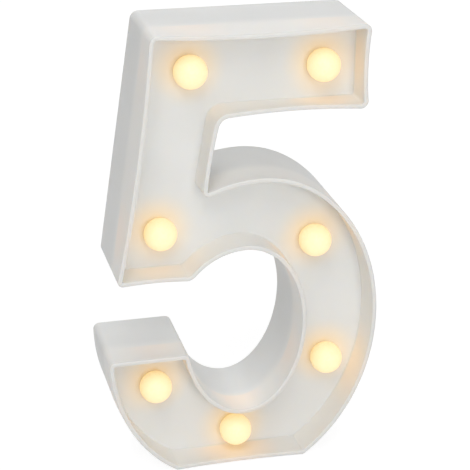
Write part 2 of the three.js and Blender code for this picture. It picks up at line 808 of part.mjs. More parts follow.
function rearCover() {
  const plate = slab(inset(numberEdge(0, true), wall + gap), coverFront, depth);
  const wells = screws.map(screwWell);
  const middle = coverFront + coverThickness / 2;
  const bay = block(bayLeft - bayWall, bayRight + bayWall, bayFloorBack - bayFloor, middle,
    bayLow - bayWall, bayHigh + bayWall);
  const { x: switchX, y: switchZ } = switchPlace;
  const bosses = [-1, 1].map((side) => rod(switchX + (side * switchHoleSpacing) / 2, switchZ,
    switchBossRadius, coverFront - switchBossHeight, middle, 12));
  const shell = join([plate, bay, ...wells.map((well) => well.cup), ...bosses]);
  const ledge = coverFront - gap;
  const tongues = [-1, 1].map((side) => {
    const x = bayMiddle + (side * tongueSpacing) / 2;
    const half = tongueWidth / 2 + runClearance;
    const deep = ledge - tongueThickness - runClearance;
    return block(x - half, x + half, deep, coverFront, bayHigh - gap, bayHigh + bayWall + overrun);
  });
  const latchHalf = latchWidth / 2 + runClearance;
  const latchNotch = block(bayMiddle - latchHalf, bayMiddle + latchHalf, ledge - latchLength,
    ledge + overrun, openingLow, bayLow + overrun);
  const hollowed = cut(shell, [
    block(bayLeft, bayRight, bayFloorBack, depth + overrun, bayLow, bayHigh),
    roundedPlate(openingLeft, openingRight, openingLow, openingHigh, doorCorner, ledge, depth + overrun),
    ...tongues,
    latchNotch,
    ...wells.flatMap((well) => [well.hollow, well.hole]),
    roundedPlate(switchX - windowRecessLength / 2, switchX + windowRecessLength / 2,
      switchZ - windowRecessWidth / 2, switchZ + windowRecessWidth / 2, doorCorner,
      depth - windowRecessDepth, depth + overrun),
    block(switchX - slotHalf, switchX + slotHalf, coverFront - overrun, depth + overrun,
      switchZ - knobWidth / 2 - runClearance, switchZ + knobWidth / 2 + runClearance),
    ...[-1, 1].map((side) => rod(switchX + (side * switchHoleSpacing) / 2, switchZ, switchScrewRadius + gap,
      coverFront - switchBossHeight - overrun, coverFront + gap, 10)),
    ...keyhole(keyholeLeft),
    ...keyhole(keyholeRight),
    contactSlot(bayHeight - bayPitch / 2),
    contactSlot(bayHeight + bayPitch / 2),
  ]);
  const divider = block(bayLeft - bayWall / 2, bayRight - contactThickness - 2 * gap - railThickness,
    bayFloorBack - bayFloor / 2, bayFloorBack + dividerHeight,
    bayHeight - dividerThickness / 2, bayHeight + dividerThickness / 2);
  return toGeometry([divider, ...bayRails()].map(toSolid).reduce((whole, rib) => whole.add(rib), hollowed));
}

// Battery door: it hooks behind the cover at its top edge and latches at its lower edge
const doorHigh = openingHigh - gap;
const doorLow = openingLow + gap;

function batteryDoor() {
  const doorFront = depth - doorThickness;
  const plate = roundedPlate(openingLeft + gap, openingRight - gap, doorLow, doorHigh, doorCorner,
    doorFront, depth);
  const tongueBack = coverFront - gap;
  const tongueFront = tongueBack - tongueThickness;
  const root = doorFront + gap;
  const tongues = [-1, 1].flatMap((side) => {
    const x = bayMiddle + (side * tongueSpacing) / 2;
    const half = tongueWidth / 2;
    return [
      block(x - half, x + half, tongueFront, root, doorHigh - tongueRoot, doorHigh),
      block(x - half, x + half, tongueFront, tongueBack, doorHigh - tongueRoot, doorHigh + tongueReach),
    ];
  });
  const legLow = bayLow + gap;
  const legFront = coverFront - gap - latchLength + runClearance;
  const half = latchWidth / 2;
  const latch = [
    block(bayMiddle - half, bayMiddle + half, legFront, root, legLow, legLow + latchThickness),
    block(bayMiddle - half, bayMiddle + half, legFront, legFront + latchThickness, legLow - latchNose,
      legLow + latchThickness),
  ];
  const gripLow = doorLow + gripRidge;
  const gripHigh = gripLow + gripHeight;
  const gripLeft = bayMiddle - gripLength / 2;
  const gripRight = bayMiddle + gripLength / 2;
  const grip = roundedPlate(gripLeft, gripRight, gripLow, gripHigh, doorCorner,
    depth - gripDepth, depth + overrun);
  const ridges = [1, 2].map((place) => {
    const z = gripLow + (place * gripHeight) / 3;
    return block(gripLeft, gripRight, depth - gripDepth - gap, depth - gap,
      z - gripRidge / 2, z + gripRidge / 2);
  });
  const body = cut(join([plate, ...tongues, ...latch]), [grip]);
  return toGeometry(ridges.map(toSolid).reduce((whole, ridge) => whole.add(ridge), body));
}

// Dry cell: its raised nub points left for a negative side and right for a positive one
function cell(side) {
  const profile = [
    [0, 0],
    [cellRadius - cellShoulder, 0],
    [cellRadius, cellShoulder],
    [cellRadius, cellLength - nubLength - cellShoulder],
    [cellRadius - cellShoulder, cellLength - nubLength],
    [nubRadius, cellLength - nubLength],
    [nubRadius, cellLength],
    [0, cellLength],
  ];
  const geometry = new THREE.LatheGeometry(profile.map((pair) => new THREE.Vector2(...pair)), 22);
  geometry.translate(0, -cellLength / 2, 0).rotateZ((-side * Math.PI) / 2);
  const shift = (springLength - dimpleLength) / 2;
  return geometry.translate(bayMiddle + side * shift, cellDepth, bayHeight - (side * bayPitch) / 2);
}

// Contacts. The spring is one tube: a straight start out of its plate, curls that narrow to the cell,
// and a straight end.
const tabDepth = bayFloorBack + gap + contactThickness;
const springStepsPerTurn = 8;

function springPoints() {
  const steps = springStepsPerTurn * springTurns;
  const climb = springLength - springWire - springWire / 2;
  const points = [new THREE.Vector3(0, springWideRadius, 0)];
  for (let step = 0; step <= steps; step += 1) {
    const share = step / steps;
    const radius = THREE.MathUtils.lerp(springWideRadius, springNarrowRadius, share);
    const angle = 2 * Math.PI * springTurns * share;
    const along = springWire + climb * share;
    points.push(new THREE.Vector3(along, radius * Math.cos(angle), radius * Math.sin(angle)));
  }
  const last = points[points.length - 1];
  const before = points[points.length - 2];
  const way = new THREE.Vector3(0, last.y - before.y, last.z - before.z).setLength(springWire);
  points.push(last.clone().add(way));
  return points;
}

function springTube() {
  return tubeThrough(springPoints(), springWire / 2, 5);
}

// A tube whose rings lie on the given points, square to the way they run, with closed ends
function tubeThrough(points, radius, sides) {
  const positions = [];
  const indices = [];
  let side = new THREE.Vector3(0, 0, 1);
  points.forEach((point, index) => {
    const before = points[Math.max(0, index - 1)];
    const after = points[Math.min(points.length - 1, index + 1)];
    const way = after.clone().sub(before).normalize();
    side = side.clone().addScaledVector(way, -side.dot(way)).normalize();
    const up = new THREE.Vector3().crossVectors(way, side);
    for (let corner = 0; corner < sides; corner += 1) {
      const angle = (2 * Math.PI * corner) / sides;
      const place = point.clone().addScaledVector(side, radius * Math.cos(angle));
      positions.push(...place.addScaledVector(up, radius * Math.sin(angle)).toArray());
    }
  });
  for (let ring = 0; ring < points.length - 1; ring += 1) {
    for (let corner = 0; corner < sides; corner += 1) {
      const next = (corner + 1) % sides;
      const here = ring * sides;
      const there = here + sides;
      indices.push(here + corner, here + next, there + next, here + corner, there + next, there + corner);
    }
  }
  const last = (points.length - 1) * sides;
  for (let corner = 1; corner < sides - 1; corner += 1) {
    indices.push(0, corner + 1, corner);
    indices.push(last, last + corner, last + corner + 1);
  }
  const geometry = new THREE.BufferGeometry();
  geometry.setAttribute('position', new THREE.Float32BufferAttribute(positions, 3));
  geometry.setIndex(indices);
  return geometry;
}

function contactPlate(left, z, wide) {
  const front = bayFloorBack + gap;
  const back = front + contactHeight;
  return block(left, left + contactThickness, front, back, z - wide / 2, z + wide / 2);
}

function placedSpring(x, z, side) {
  const spring = springTube();
  if (side < 0) spring.rotateY(Math.PI);
  return spring.translate(x - side * springWire / 2, cellDepth, z);
}

function dimple(x, z, side) {
  const geometry = new THREE.CylinderGeometry(dimpleRadius, dimpleRadius + gap, dimpleLength + gap, 12);
  geometry.rotateZ((-side * Math.PI) / 2);
  return geometry.translate(x + (side * (dimpleLength - gap)) / 2, cellDepth, z);
}

function solderTab(left, z) {
  const right = left + contactThickness;
  return block(right - tabLength - gap, right, tabDepth, tabDepth + contactThickness,
    z - tabWidth / 2, z + tabWidth / 2);
}

const contactLeft = bayLeft + gap;
const contactRight = bayRight - gap - contactThickness;
const lowBay = bayHeight - bayPitch / 2;
const highBay = bayHeight + bayPitch / 2;

function contactNegative() {
  const face = contactLeft + contactThickness;
  return toGeometry(join([
    contactPlate(contactLeft, lowBay, contactWidth),
    placedSpring(face, lowBay, 1),
    solderTab(contactLeft, lowBay),
  ]));
}

function contactPositive() {
  const face = contactLeft + contactThickness;
  return toGeometry(join([
    contactPlate(contactLeft, highBay, contactWidth),
    dimple(face, highBay, 1),
    solderTab(contactLeft, highBay),
  ]));
}

function contactBridge() {
  return toGeometry(join([
    contactPlate(contactRight, bayHeight, bayPitch + contactWidth),
    placedSpring(contactRight, highBay, -1),
    dimple(contactRight, lowBay, -1),
  ]));
}

// Wires. Two strings pass the legs of every lamp and lie on the face panel between lamps.
const midShare = 0.5;
const detours = {
  stem: new THREE.Vector2(postClear, 0).add(screws[2]),
  bowlLeft: new THREE.Vector2(-postClear, postClear * midShare).add(screws[4]),
  bowlTop: new THREE.Vector2(0, postClear).add(screws[4]),
  bowlRight: new THREE.Vector2(postClear, postClear * midShare).add(screws[4]),
  waist: new THREE.Vector2(-postClear, 0).add(screws[5]),
  heel: new THREE.Vector2(0, postClear).add(screws[6]),
  toe: lamps.foot.clone().lerp(lamps.tail, midShare),
};
const stringRoute = [
  lamps.arm_right,
  lamps.arm_right.clone().lerp(lamps.arm_left, midShare),
  lamps.arm_left,
  detours.stem,
  lamps.block,
  detours.bowlLeft,
  detours.bowlTop,
  detours.bowlRight,
  lamps.bowl_upper,
  detours.waist,
  lamps.bowl_lower,
  detours.heel,
  lamps.foot,
  detours.toe,
  lamps.tail,
];

function stringMiddle() {
  const places = Object.values(lamps);
  return new THREE.CatmullRomCurve3(stringRoute.map((place) => {
    const atLamp = places.includes(place);
    return new THREE.Vector3(place.x, atLamp ? wireDepth : wireRest, place.y);
  }), false, 'centripetal');
}

const stringCurve = stringMiddle();

function acrossString(share) {
  const way = stringCurve.getTangent(share);
  return new THREE.Vector2(-way.z, way.x).normalize();
}

function lampShare(place) {
  return stringRoute.indexOf(place) / (stringRoute.length - 1);
}

function lampString(side) {
  const steps = wireSteps * (stringRoute.length - 1);
  const points = Array.from({ length: steps + 1 }, (_, index) => {
    const share = index / steps;
    const across = acrossString(share).multiplyScalar((side * legSpread) / 2);
    return stringCurve.getPoint(share).add(new THREE.Vector3(across.x, 0, across.y));
  });
  return tubeThrough(points, wireRadius, wireSides);
}

function lead(points) {
  const curve = new THREE.CatmullRomCurve3(points, false, 'centripetal');
  const steps = wireSteps * (points.length - 1);
  const places = Array.from({ length: steps + 1 }, (_, index) => curve.getPoint(index / steps));
  return tubeThrough(places, wireRadius, wireSides);
}

function tabEnd(z) {
  const end = contactLeft + contactThickness - tabLength - gap - gap;
  return new THREE.Vector3(end, tabDepth + contactThickness / 2, z);
}

function pinEnd(place) {
  return new THREE.Vector3(switchPlace.x + place * pinSpacing, switchFront - pinLength - gap, switchPlace.y);
}

function away(point, x, y, z) {
  return point.clone().add(new THREE.Vector3(x, y, z));
}

// The leads meet the strings halfway between the left lamp of the arm and the screw in the stem
const jointShare = (stringRoute.indexOf(lamps.arm_left) + midShare) / (stringRoute.length - 1);

function joint(side) {
  const across = acrossString(jointShare).multiplyScalar((side * legSpread) / 2);
  return away(stringCurve.getPoint(jointShare), across.x, wireRadius + gap, across.y);
}

function leadTabToSwitch() {
  const start = tabEnd(highBay);
  const end = pinEnd(-1);
  const turn = new THREE.Vector3(end.x, start.y, start.z);
  return lead([
    start,
    away(start, -leadBend, 0, 0),
    away(turn, leadBend, 0, 0),
    away(turn, 0, -leadBend / 2, -leadBend),
    away(end, 0, -leadBend, leadBend),
    end,
  ]);
}

function leadSwitchToLamps() {
  const start = pinEnd(0);
  const end = joint(-1);
  return lead([start, away(start, 0, -leadBend / 2, 0), away(end, 0, leadBend / 2, 0), end]);
}

function leadTabToLamps() {
  const start = tabEnd(lowBay);
  const end = joint(1);
  const drop = new THREE.Vector3(start.x - leadBend, (start.y + end.y) / 2, (start.z + end.z) / 2);
  return lead([start, away(start, -leadBend, 0, 0), drop, away(end, 0, leadBend / 2, 0), end]);
}

// The least gap between curls of a contact spring, measured on points along its middle
function springGap() {
  const corners = springPoints();
  const perStep = 6;
  const perTurn = perStep * springStepsPerTurn;
  const count = perStep * (corners.length - 1);
  const points = Array.from({ length: count }, (_, index) => {
    const step = Math.floor(index / perStep);
    return corners[step].clone().lerp(corners[step + 1], (index % perStep) / perStep);
  });
  let least = Infinity;
  points.forEach((point, index) => {
    for (let other = index + perTurn / 2; other < count; other += 1) {
      least = Math.min(least, point.distanceTo(points[other]));
    }
  });
  return least - springWire;
}

console.log(`least gap between spring curls ${springGap().toFixed(2)} mm`);

// Assembly
function material(finish) {
  return new THREE.MeshStandardMaterial(finishes[finish]);
}

function piece(name, geometry, finish) {
  const mesh = new THREE.Mesh(geometry, material(finish));
  mesh.name = name;
  return mesh;
}

const group = new THREE.Group();
group.add(piece('front_housing', frontHousing(), 'shell'));
group.add(piece('rear_cover', rearCover(), 'cover'));
group.add(piece('battery_door', batteryDoor(), 'cover'));
Object.entries(lamps).forEach(([name, place]) => {
  group.add(piece(`globe_${name}`, globe(place), 'globe'));
  group.add(piece(`diode_${name}`, diode(place, acrossString(lampShare(place))), 'diode'));
});
screws.forEach((place, index) => group.add(piece(`cover_screw_${index + 1}`, coverScrew(place), 'screw')));
group.add(piece('switch_body', switchBody(), 'switchBody'));
group.add(piece('switch_slider', switchSlider(), 'slider'));
group.add(piece('switch_screw_left', switchScrew(-1), 'screw'));
group.add(piece('switch_screw_right', switchScrew(1), 'screw'));
group.add(piece('dry_cell_low', cell(1), 'cell'));
group.add(piece('dry_cell_high', cell(-1), 'cell'));
group.add(piece('contact_negative', contactNegative(), 'contact'));
group.add(piece('contact_positive', contactPositive(), 'contact'));
group.add(piece('contact_bridge', contactBridge(), 'contact'));
group.add(piece('lamp_string_positive', lampString(-1), 'redWire'));
group.add(piece('lamp_string_negative', lampString(1), 'blackWire'));
group.add(piece('lead_tab_to_switch', leadTabToSwitch(), 'redWire'));
group.add(piece('lead_switch_to_lamps', leadSwitchToLamps(), 'redWire'));
group.add(piece('lead_tab_to_lamps', leadTabToLamps(), 'blackWire'));
group.position.set(-width / 2, -depth / 2, 0);
group.updateMatrixWorld(true);

export default group;
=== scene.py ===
"""A light up marquee number five: its looks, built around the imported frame.

Metres. The number faces -Y and stands on z = 0. A pair of values gives the two ends of a stretch
across (X), in depth (Y, from the front) or in height (Z). A place is a pair of X and Z. Rods,
holes and corners are given by their radius, and small boxes by half their width and half their
height.
"""

import math
from collections import namedtuple

import bmesh
import bpy
from mathutils import Matrix, Vector


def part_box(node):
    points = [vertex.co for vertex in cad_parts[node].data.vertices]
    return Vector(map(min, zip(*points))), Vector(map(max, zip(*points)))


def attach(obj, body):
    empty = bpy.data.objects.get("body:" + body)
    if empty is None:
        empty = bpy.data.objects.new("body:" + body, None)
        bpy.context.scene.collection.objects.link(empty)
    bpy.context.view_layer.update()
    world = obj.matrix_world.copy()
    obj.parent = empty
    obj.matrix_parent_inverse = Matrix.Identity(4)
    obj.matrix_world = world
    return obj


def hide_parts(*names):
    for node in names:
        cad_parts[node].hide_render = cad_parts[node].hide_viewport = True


bl_info = {
    "name": "Marquee Number",
    "version": (1, 0, 0),
    "blender": (4, 5, 0),
    "location": "3D View > Sidebar > Marquee",
    "description": "Models and finishes a light up marquee number on its packed frame",
    "category": "Object",
}

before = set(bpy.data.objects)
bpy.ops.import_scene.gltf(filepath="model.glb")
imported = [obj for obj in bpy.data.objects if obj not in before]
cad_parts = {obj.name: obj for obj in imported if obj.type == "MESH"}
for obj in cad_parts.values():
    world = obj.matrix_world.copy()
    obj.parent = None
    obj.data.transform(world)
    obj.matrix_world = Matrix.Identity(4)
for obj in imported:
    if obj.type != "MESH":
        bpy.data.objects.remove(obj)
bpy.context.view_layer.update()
MM = 0.001

# Bodies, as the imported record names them
NUMBER = "number"
DOOR = "battery_door"
SLIDER = "switch_slider"

# Overall sizes of the number, from the frame
HOUSING_LOW, HOUSING_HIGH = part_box("front_housing")
WIDTH = 132 * MM
HEIGHT = HOUSING_HIGH.z
DEPTH = HOUSING_HIGH.y - HOUSING_LOW.y
FRONT = HOUSING_LOW.y
BACK = HOUSING_HIGH.y

# Outline: places across are shares of the width, heights are shares of the arm's underside
ARM_HEIGHT = 40 * MM
ARM_BOTTOM = HEIGHT - ARM_HEIGHT
BASE_LEFT = 0.2485 * WIDTH
BASE_RIGHT = 0.7356 * WIDTH
BOWL_CROWN = 0.553 * WIDTH
BOWL_LOWER_RADIUS = 0.5576 * WIDTH
BOWL_SHOULDER_RADIUS = 0.5303 * WIDTH
NOTCH = 0.3553 * WIDTH
ARM_LEFT = 0.3985 * WIDTH
ARM_RIGHT = 0.9295 * WIDTH
STEM_TOP_LEFT = 0.1568 * WIDTH
BLOCK_LEFT = 0.0318 * WIDTH
EYE_CENTRE = 0.5 * WIDTH
EYE_RADIUS = 0.2152 * WIDTH
EYE_SHOULDER_RADIUS = 0.2674 * WIDTH
TAIL_RADIUS = 0.4189 * WIDTH
BOWL_TOP = 0.8322 * ARM_BOTTOM
EYE_TOP = 0.6356 * ARM_BOTTOM
BLOCK_BOTTOM = 0.5622 * ARM_BOTTOM
WAIST = 0.4111 * ARM_BOTTOM
TAIL_TOP = 0.3472 * ARM_BOTTOM
TAIL_WAIST = 0.3367 * ARM_BOTTOM
EYE_BOTTOM = 0.1639 * ARM_BOTTOM

# Rounded corners of the outline
OUTER_CORNER = 3.5 * MM
INNER_CORNER = 4.5 * MM
CROOK_CORNER = 1.2 * MM
BLOCK_CORNER = 3 * MM
TAIL_CORNER = 3 * MM
EYE_CORNER = 2.4 * MM
CORNER_STEPS = 8
ROUND_HANDLE = 0.55

# Fits and edges that several pieces share. A cutter overruns the face that it opens
OVERRUN = 1 * MM
RUNNING_GAP = 0.3 * MM
FIT = 0.4 * MM
PLATE_CORNER = 1 * MM
MERGE = 0.002 * MM
HOLE_SIDES = 24

# Housing: the rim's bow, the posts with their gussets, the ribs that the cover rests on, the holes
BOW_END = 1 * MM
BOW_CURVE = 1.5
BOW_SHARES = (1, 0.86, 0.72, 0.58, 0.44, 0.3, 0.18, 0.09)
BACK_ROUND = 0.4 * MM
BACK_CHAMFER = 0.15 * MM
ROOT = 0.9 * MM
POST_RADIUS = 3 * MM
POST_END = BACK - 4.3 * MM
GUSSET_END = POST_END - 9 * MM
GUSSET_REACH = 5.2 * MM
GUSSET_HALF = 0.4 * MM
RIB_END = BACK - 2.1 * MM
RIB_INSET = 2.05 * MM
RIB_HALF = 0.6 * MM
RIB_REACH = 1.15 * MM
LAMP_HOLE = 4.9 * MM
SCREW_HOLE = 1.4 * MM
PILOT_ENDS = (BACK - 13.2 * MM, BACK - 3 * MM)

# Globes: a neck that snaps through the panel, with its places behind the ball's centre
NECK = 4.6 * MM
NECK_BORE = 3.3 * MM
NECK_START = 5.7 * MM
NECK_END = 10.5 * MM
BEAD = 5.2 * MM
BEAD_ENDS = (8.1 * MM, 9.3 * MM)
BEAD_CREST = (8.4 * MM, 8.6 * MM)

# Rear cover
COVER = 1.8 * MM
COVER_EDGE = 0.25 * MM
INSIDE = BACK - COVER
MIDDLE = BACK - COVER / 2
OUT = BACK + OVERRUN
DOOR_LEDGE = INSIDE - RUNNING_GAP
DOOR_MARGIN = 0.8 * MM
BAY_WALL = 1.2 * MM
CUP = 4.1 * MM
CUP_DEPTH = 4 * MM
WELL = 2.9 * MM
WELL_DEPTH = 2.5 * MM
WELL_FLOOR = 5 * MM
BOSS = 1.9 * MM
BOSS_DEPTH = 3 * MM
BOSS_HOLE = 1.05 * MM
BOSS_HOLE_DEPTH = 2.2 * MM
WINDOW = (6.5 * MM, 4 * MM)
WINDOW_DEPTH = 0.8 * MM
WINDOW_SLOT = (3.7 * MM, 1.7 * MM)
LETTER_SIZE = 2.8 * MM
LETTER_GAP = 3.6 * MM
LETTER_DEPTH = 0.3 * MM
KEYHOLE = 4 * MM
KEYHOLE_SLOT = 2 * MM
KEYHOLE_RISE = 9 * MM
KEYHOLE_DEPTH = 2.8 * MM
KEYHOLE_INSET = 8 * MM
KEYHOLE_HEIGHT = HEIGHT - 31 * MM

# Battery bay and door
DOOR_LOW, DOOR_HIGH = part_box("battery_door")
BAY_LEFT = DOOR_LOW.x + 0.5 * MM
BAY_RIGHT = DOOR_HIGH.x - 0.5 * MM
BAY_LOW = DOOR_LOW.z + 0.5 * MM
BAY_HIGH = DOOR_HIGH.z - 1.5 * MM
BAY_MIDDLE = (BAY_LEFT + BAY_RIGHT) / 2
BAY_HEIGHT = (BAY_LOW + BAY_HIGH) / 2
BAY_PITCH = (BAY_HIGH - BAY_LOW) / 2
CELL_HEIGHTS = (BAY_HEIGHT - BAY_PITCH / 2, BAY_HEIGHT + BAY_PITCH / 2)
CELL_RADIUS = 7.1 * MM
CELL_DEPTH = sum(corner.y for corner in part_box("dry_cell_low")) / 2
BAY_FLOOR = CELL_DEPTH - CELL_RADIUS - RUNNING_GAP
BAY_ROOT = BAY_FLOOR - BAY_WALL / 2
DIVIDER_HALF = 0.4 * MM
DIVIDER_RISE = 3.8 * MM
RAIL = 0.8 * MM
RAIL_BACK = BAY_ROOT + 14.2 * MM
RAIL_HALF = 0.85 * MM
RAIL_REACH = 0.9 * MM
RAIL_ROOT = 0.6 * MM
DOOR_TOP = DOOR_HIGH.z - MM
DOOR_EDGE = 0.25 * MM
TONGUE_PLACES = (BAY_MIDDLE - 18 * MM, BAY_MIDDLE + 18 * MM)
TONGUE_HALF = 3 * MM
TONGUE = 1.6 * MM
TONGUE_SLOT_TOP = BAY_HIGH + 2.2 * MM
LATCH_HALF = 6 * MM
LATCH_DEPTH = 3 * MM
GRIP_LOW = DOOR_LOW.z + 0.9 * MM
GRIP_HALF = 8 * MM
GRIP_HEIGHT = 6 * MM
GRIP_DEPTH = 0.8 * MM
RIDGE_PITCH = 1.5 * MM
RIDGE_HALF = 0.4 * MM
ARROW = 2 * MM
ARROW_RISE = 9.6 * MM
ARROW_DEPTH = 0.3 * MM

# Slide switch
SWITCH_PLATE = 0.5 * MM
SWITCH_SCREW_REACH = 7.8 * MM
PIN_HEIGHT = 2.6 * MM
PIN_PITCH = 2.5 * MM
PIN = (0.25 * MM, 0.4 * MM)
CAN = (6 * MM, 2.8 * MM)
CHAMBER = (4.5 * MM, 1.8 * MM)
CHAMBER_DEPTH = 3.6 * MM
KNOB_SLOT = (3.7 * MM, 1.6 * MM)
KNOB_SLOT_DEPTH = 3.5 * MM
SLIDER_FOOT = 3 * MM
KNOB = (1.8 * MM, 1.3 * MM)
GROOVE = (0.25 * MM, 2 * MM)
GROOVE_DEPTH = 0.5 * MM

# Contacts
CONTACT = 0.4 * MM
CONTACT_WIDTH = 12.6 * MM
CONTACT_DEPTH = 13.6 * MM
CONTACT_LEFT = BAY_LEFT + RUNNING_GAP
CONTACT_RIGHT = BAY_RIGHT - RUNNING_GAP - CONTACT
TAB_HALF = 1.5 * MM
TAB_REACH = 3.3 * MM
TAB_RISE = 0.7 * MM
CONTACT_SLOT_LEFT = BAY_LEFT - 2.2 * MM
DIMPLE = 2.1 * MM
DIMPLE_HEIGHT = 1.2 * MM
DIMPLE_FOOT = 0.2 * MM
SPRING_WIRE = 0.35 * MM
SPRING_TURNS = 2.5
SPRING_HEIGHT = 3.9 * MM
SPRING_WIDE = 4.4 * MM
SPRING_NARROW = 2.4 * MM

# Diodes
DIODE = 2.5 * MM
DIODE_FLANGE = 3.6 * MM
DIODE_FLANGE_HEIGHT = 0.8 * MM
DIODE_FLAT = 3.1 * MM
DIODE_EDGE = 0.15 * MM
DIODE_LEGS = 2 * MM
LEG_REACH = 1.27 * MM
LEG_HALF = 0.25 * MM

# The photograph's camera, and how far the studio's lamps stand from the number's middle
CAMERA_PLACE = Vector((-0.1800, -0.6712, 0.4087))
CAMERA_RIGHT = Vector((0.96725, -0.25344, 0.01379))
CAMERA_AHEAD = Vector((0.23844, 0.88868, -0.39166))
CAMERA_LENS = 120.5
SENSOR_WIDTH = 36
STUDIO_REACH = 1.6
FLOOR_HEIGHT = -0.05 * MM

# Depths at which the housing's and the globes' looks change
# Across these depths the shell turns from its lit front colour to its darker rear colour, painted
# shade behind the face panel
SHELL_DARKENS = (FRONT + 13 * MM, FRONT + 21 * MM)
RIM_EDGE = (FRONT + 0.4 * MM, FRONT + 1.4 * MM)
# The painted glow on the panel and the walls near a lamp fades over these depths
PANEL_GLOW_ENDS = (FRONT + 16.5 * MM, FRONT + 17.5 * MM)
WALL_GLOW_ENDS = (FRONT + 14 * MM, FRONT + 15.8 * MM)
GLOBE_GLOW_ENDS = (FRONT + 16 * MM, FRONT + 18 * MM)
LAMP_DEPTH = FRONT + 13 * MM

# Distances from a lamp over which its light and the housing's painted glow and painted tint fade, and
# how it looks there
PANEL_FADE = (7 * MM, 20 * MM)
WALL_FADE = (10 * MM, 28 * MM)
WALL_LIGHT = 0.65
NECK_LIGHT = 0.15
BACK_LIGHT = 0.75
# Painted warm light and shade near a lamp, multiplied into the plastic's colour
LAMP_PAINTED_TINT = (1, 0.91, 0.8)
CLOUD_SHADE = 0.965
# Painted shade that darkens the rim's front and tones down its highlight
RIM_PAINTED_SHADE = 0.89

# Ranges of a noise texture that the finishes use
GRAIN = (0.3, 0.7)
CLOUDS = (0.35, 0.65)
RISING = (0, 1)
FALLING = (1, 0)

# Colours of metal, epoxy, frost and wrap
BLACK = (0, 0, 0)
STEEL = (0.62, 0.61, 0.59)
TINNED = (0.7, 0.69, 0.66)
PLATED = (0.42, 0.42, 0.43)
ZINC = (0.55, 0.55, 0.56)
NICKEL = (0.68, 0.66, 0.62)
DYED_BLACK = (0.014, 0.014, 0.015)
DYED_RED = (0.42, 0.02, 0.014)
EPOXY = ((0.95, 0.80, 0.42), (0.98, 0.88, 0.58))
EPOXY_GLOW = (0.6, 0.45, 0.21)
FROST = ((0.63, 0.57, 0.38), (0.58, 0.52, 0.34))
WRAP = (0.055, 0.075, 0.11)
WRAP_BAND = (0.52, 0.53, 0.54)
FLOOR_PAINT = (0.8, 0.8, 0.8)
STUDIO_WHITE = (1.0, 0.995, 0.985)

# Nodes that are handled together
LAMPS = ("arm_right", "arm_left", "block", "bowl_upper", "bowl_lower", "foot", "tail")
COVER_SCREWS = [f"cover_screw_{number}" for number in range(1, 9)]


# Settings

class MarqueeHousingSettings(bpy.types.PropertyGroup):
    """Sizes and colour of the moulded housing."""
    wall: bpy.props.FloatProperty(
        name="Wall", description="Thickness of the housing's wall",
        default=1.8 * MM, min=0.8 * MM, max=4 * MM, unit="LENGTH")
    rim_width: bpy.props.FloatProperty(
        name="Rim width", description="Thickness of the wall in front of the face panel",
        default=2.2 * MM, min=0.8 * MM, max=4 * MM, unit="LENGTH")
    rim_round: bpy.props.FloatProperty(
        name="Rim round", description="Radius of the rim's two rounded edges",
        default=0.6 * MM, min=0.1 * MM, max=0.9 * MM, unit="LENGTH")
    rim_bow: bpy.props.FloatProperty(
        name="Rim bow", description="How far the rim is drawn in along a long straight run",
        default=1.8 * MM, min=0, max=4 * MM, unit="LENGTH")
    panel_thickness: bpy.props.FloatProperty(
        name="Panel thickness", description="Thickness of the face panel",
        default=1.8 * MM, min=0.8 * MM, max=4 * MM, unit="LENGTH")
    tray_depth: bpy.props.FloatProperty(
        name="Tray depth", description="Depth of the face panel behind the rim",
        default=16 * MM, min=4 * MM, max=25 * MM, unit="LENGTH")
    fillet: bpy.props.FloatProperty(
        name="Fillet", description="Radius where the face panel meets the wall",
        default=0.5 * MM, min=0.1 * MM, max=1 * MM, unit="LENGTH")
    # The shell colour is the lit copy of the plastic in front of the face panel, and the rear colour
    # below is its darker copy
    colour: bpy.props.FloatVectorProperty(
        name="Shell colour", description="Colour of the moulded plastic in front of the face panel",
        default=(0.83, 0.825, 0.803), size=3, min=0, max=1, subtype="COLOR")
    # Painted shade: the rear colour is the same plastic made darker where less light reaches, and the
    # rear cover and the door take it too
    shaded_rear_colour: bpy.props.FloatVectorProperty(
        name="Rear colour", description="Colour of the moulded plastic behind the face panel",
        default=(0.775, 0.775, 0.76), size=3, min=0, max=1, subtype="COLOR")
    # Painted glow: emission on the face panel near a lamp, standing in for light that leaks through
    # the plastic
    painted_bleed: bpy.props.FloatVectorProperty(
        name="Light bleed", description="Light that leaks through the face panel close to a lamp",
        default=(0.11, 0.062, 0.02), size=3, min=0, max=1, subtype="COLOR")
    # Painted glow: emission on the tray's wall near a lamp, standing in for light that leaks through
    # the plastic
    painted_wall_bleed: bpy.props.FloatVectorProperty(
        name="Wall light bleed", description="Light that leaks through the tray's wall near a lamp",
        default=(0.19, 0.068, 0.014), size=3, min=0, max=1, subtype="COLOR")


class MarqueeGlobeSettings(bpy.types.PropertyGroup):
    """Sizes and glow of the globes."""
    radius: bpy.props.FloatProperty(
        name="Radius", description="Radius of a globe's ball",
        default=7.8 * MM, min=4 * MM, max=12 * MM, unit="LENGTH")
    shell: bpy.props.FloatProperty(
        name="Shell", description="Thickness of a globe's wall",
        default=1.2 * MM, min=0.6 * MM, max=2 * MM, unit="LENGTH")
    centre_depth: bpy.props.FloatProperty(
        name="Centre depth", description="Depth of a ball's centre behind the rim",
        default=10 * MM, min=3 * MM, max=20 * MM, unit="LENGTH")
    glow_front: bpy.props.FloatVectorProperty(
        name="Front glow", description="Colour of the light that leaves a globe's front",
        default=(1.0, 0.73, 0.41), size=3, min=0, max=1, subtype="COLOR")
    glow_back: bpy.props.FloatVectorProperty(
        name="Back glow", description="Colour of the light that leaves a globe near the panel",
        default=(1.0, 0.68, 0.23), size=3, min=0, max=1, subtype="COLOR")
    strength: bpy.props.FloatProperty(
        name="Glow strength", description="Strength of the globes' light",
        default=0.68, min=0, max=10)


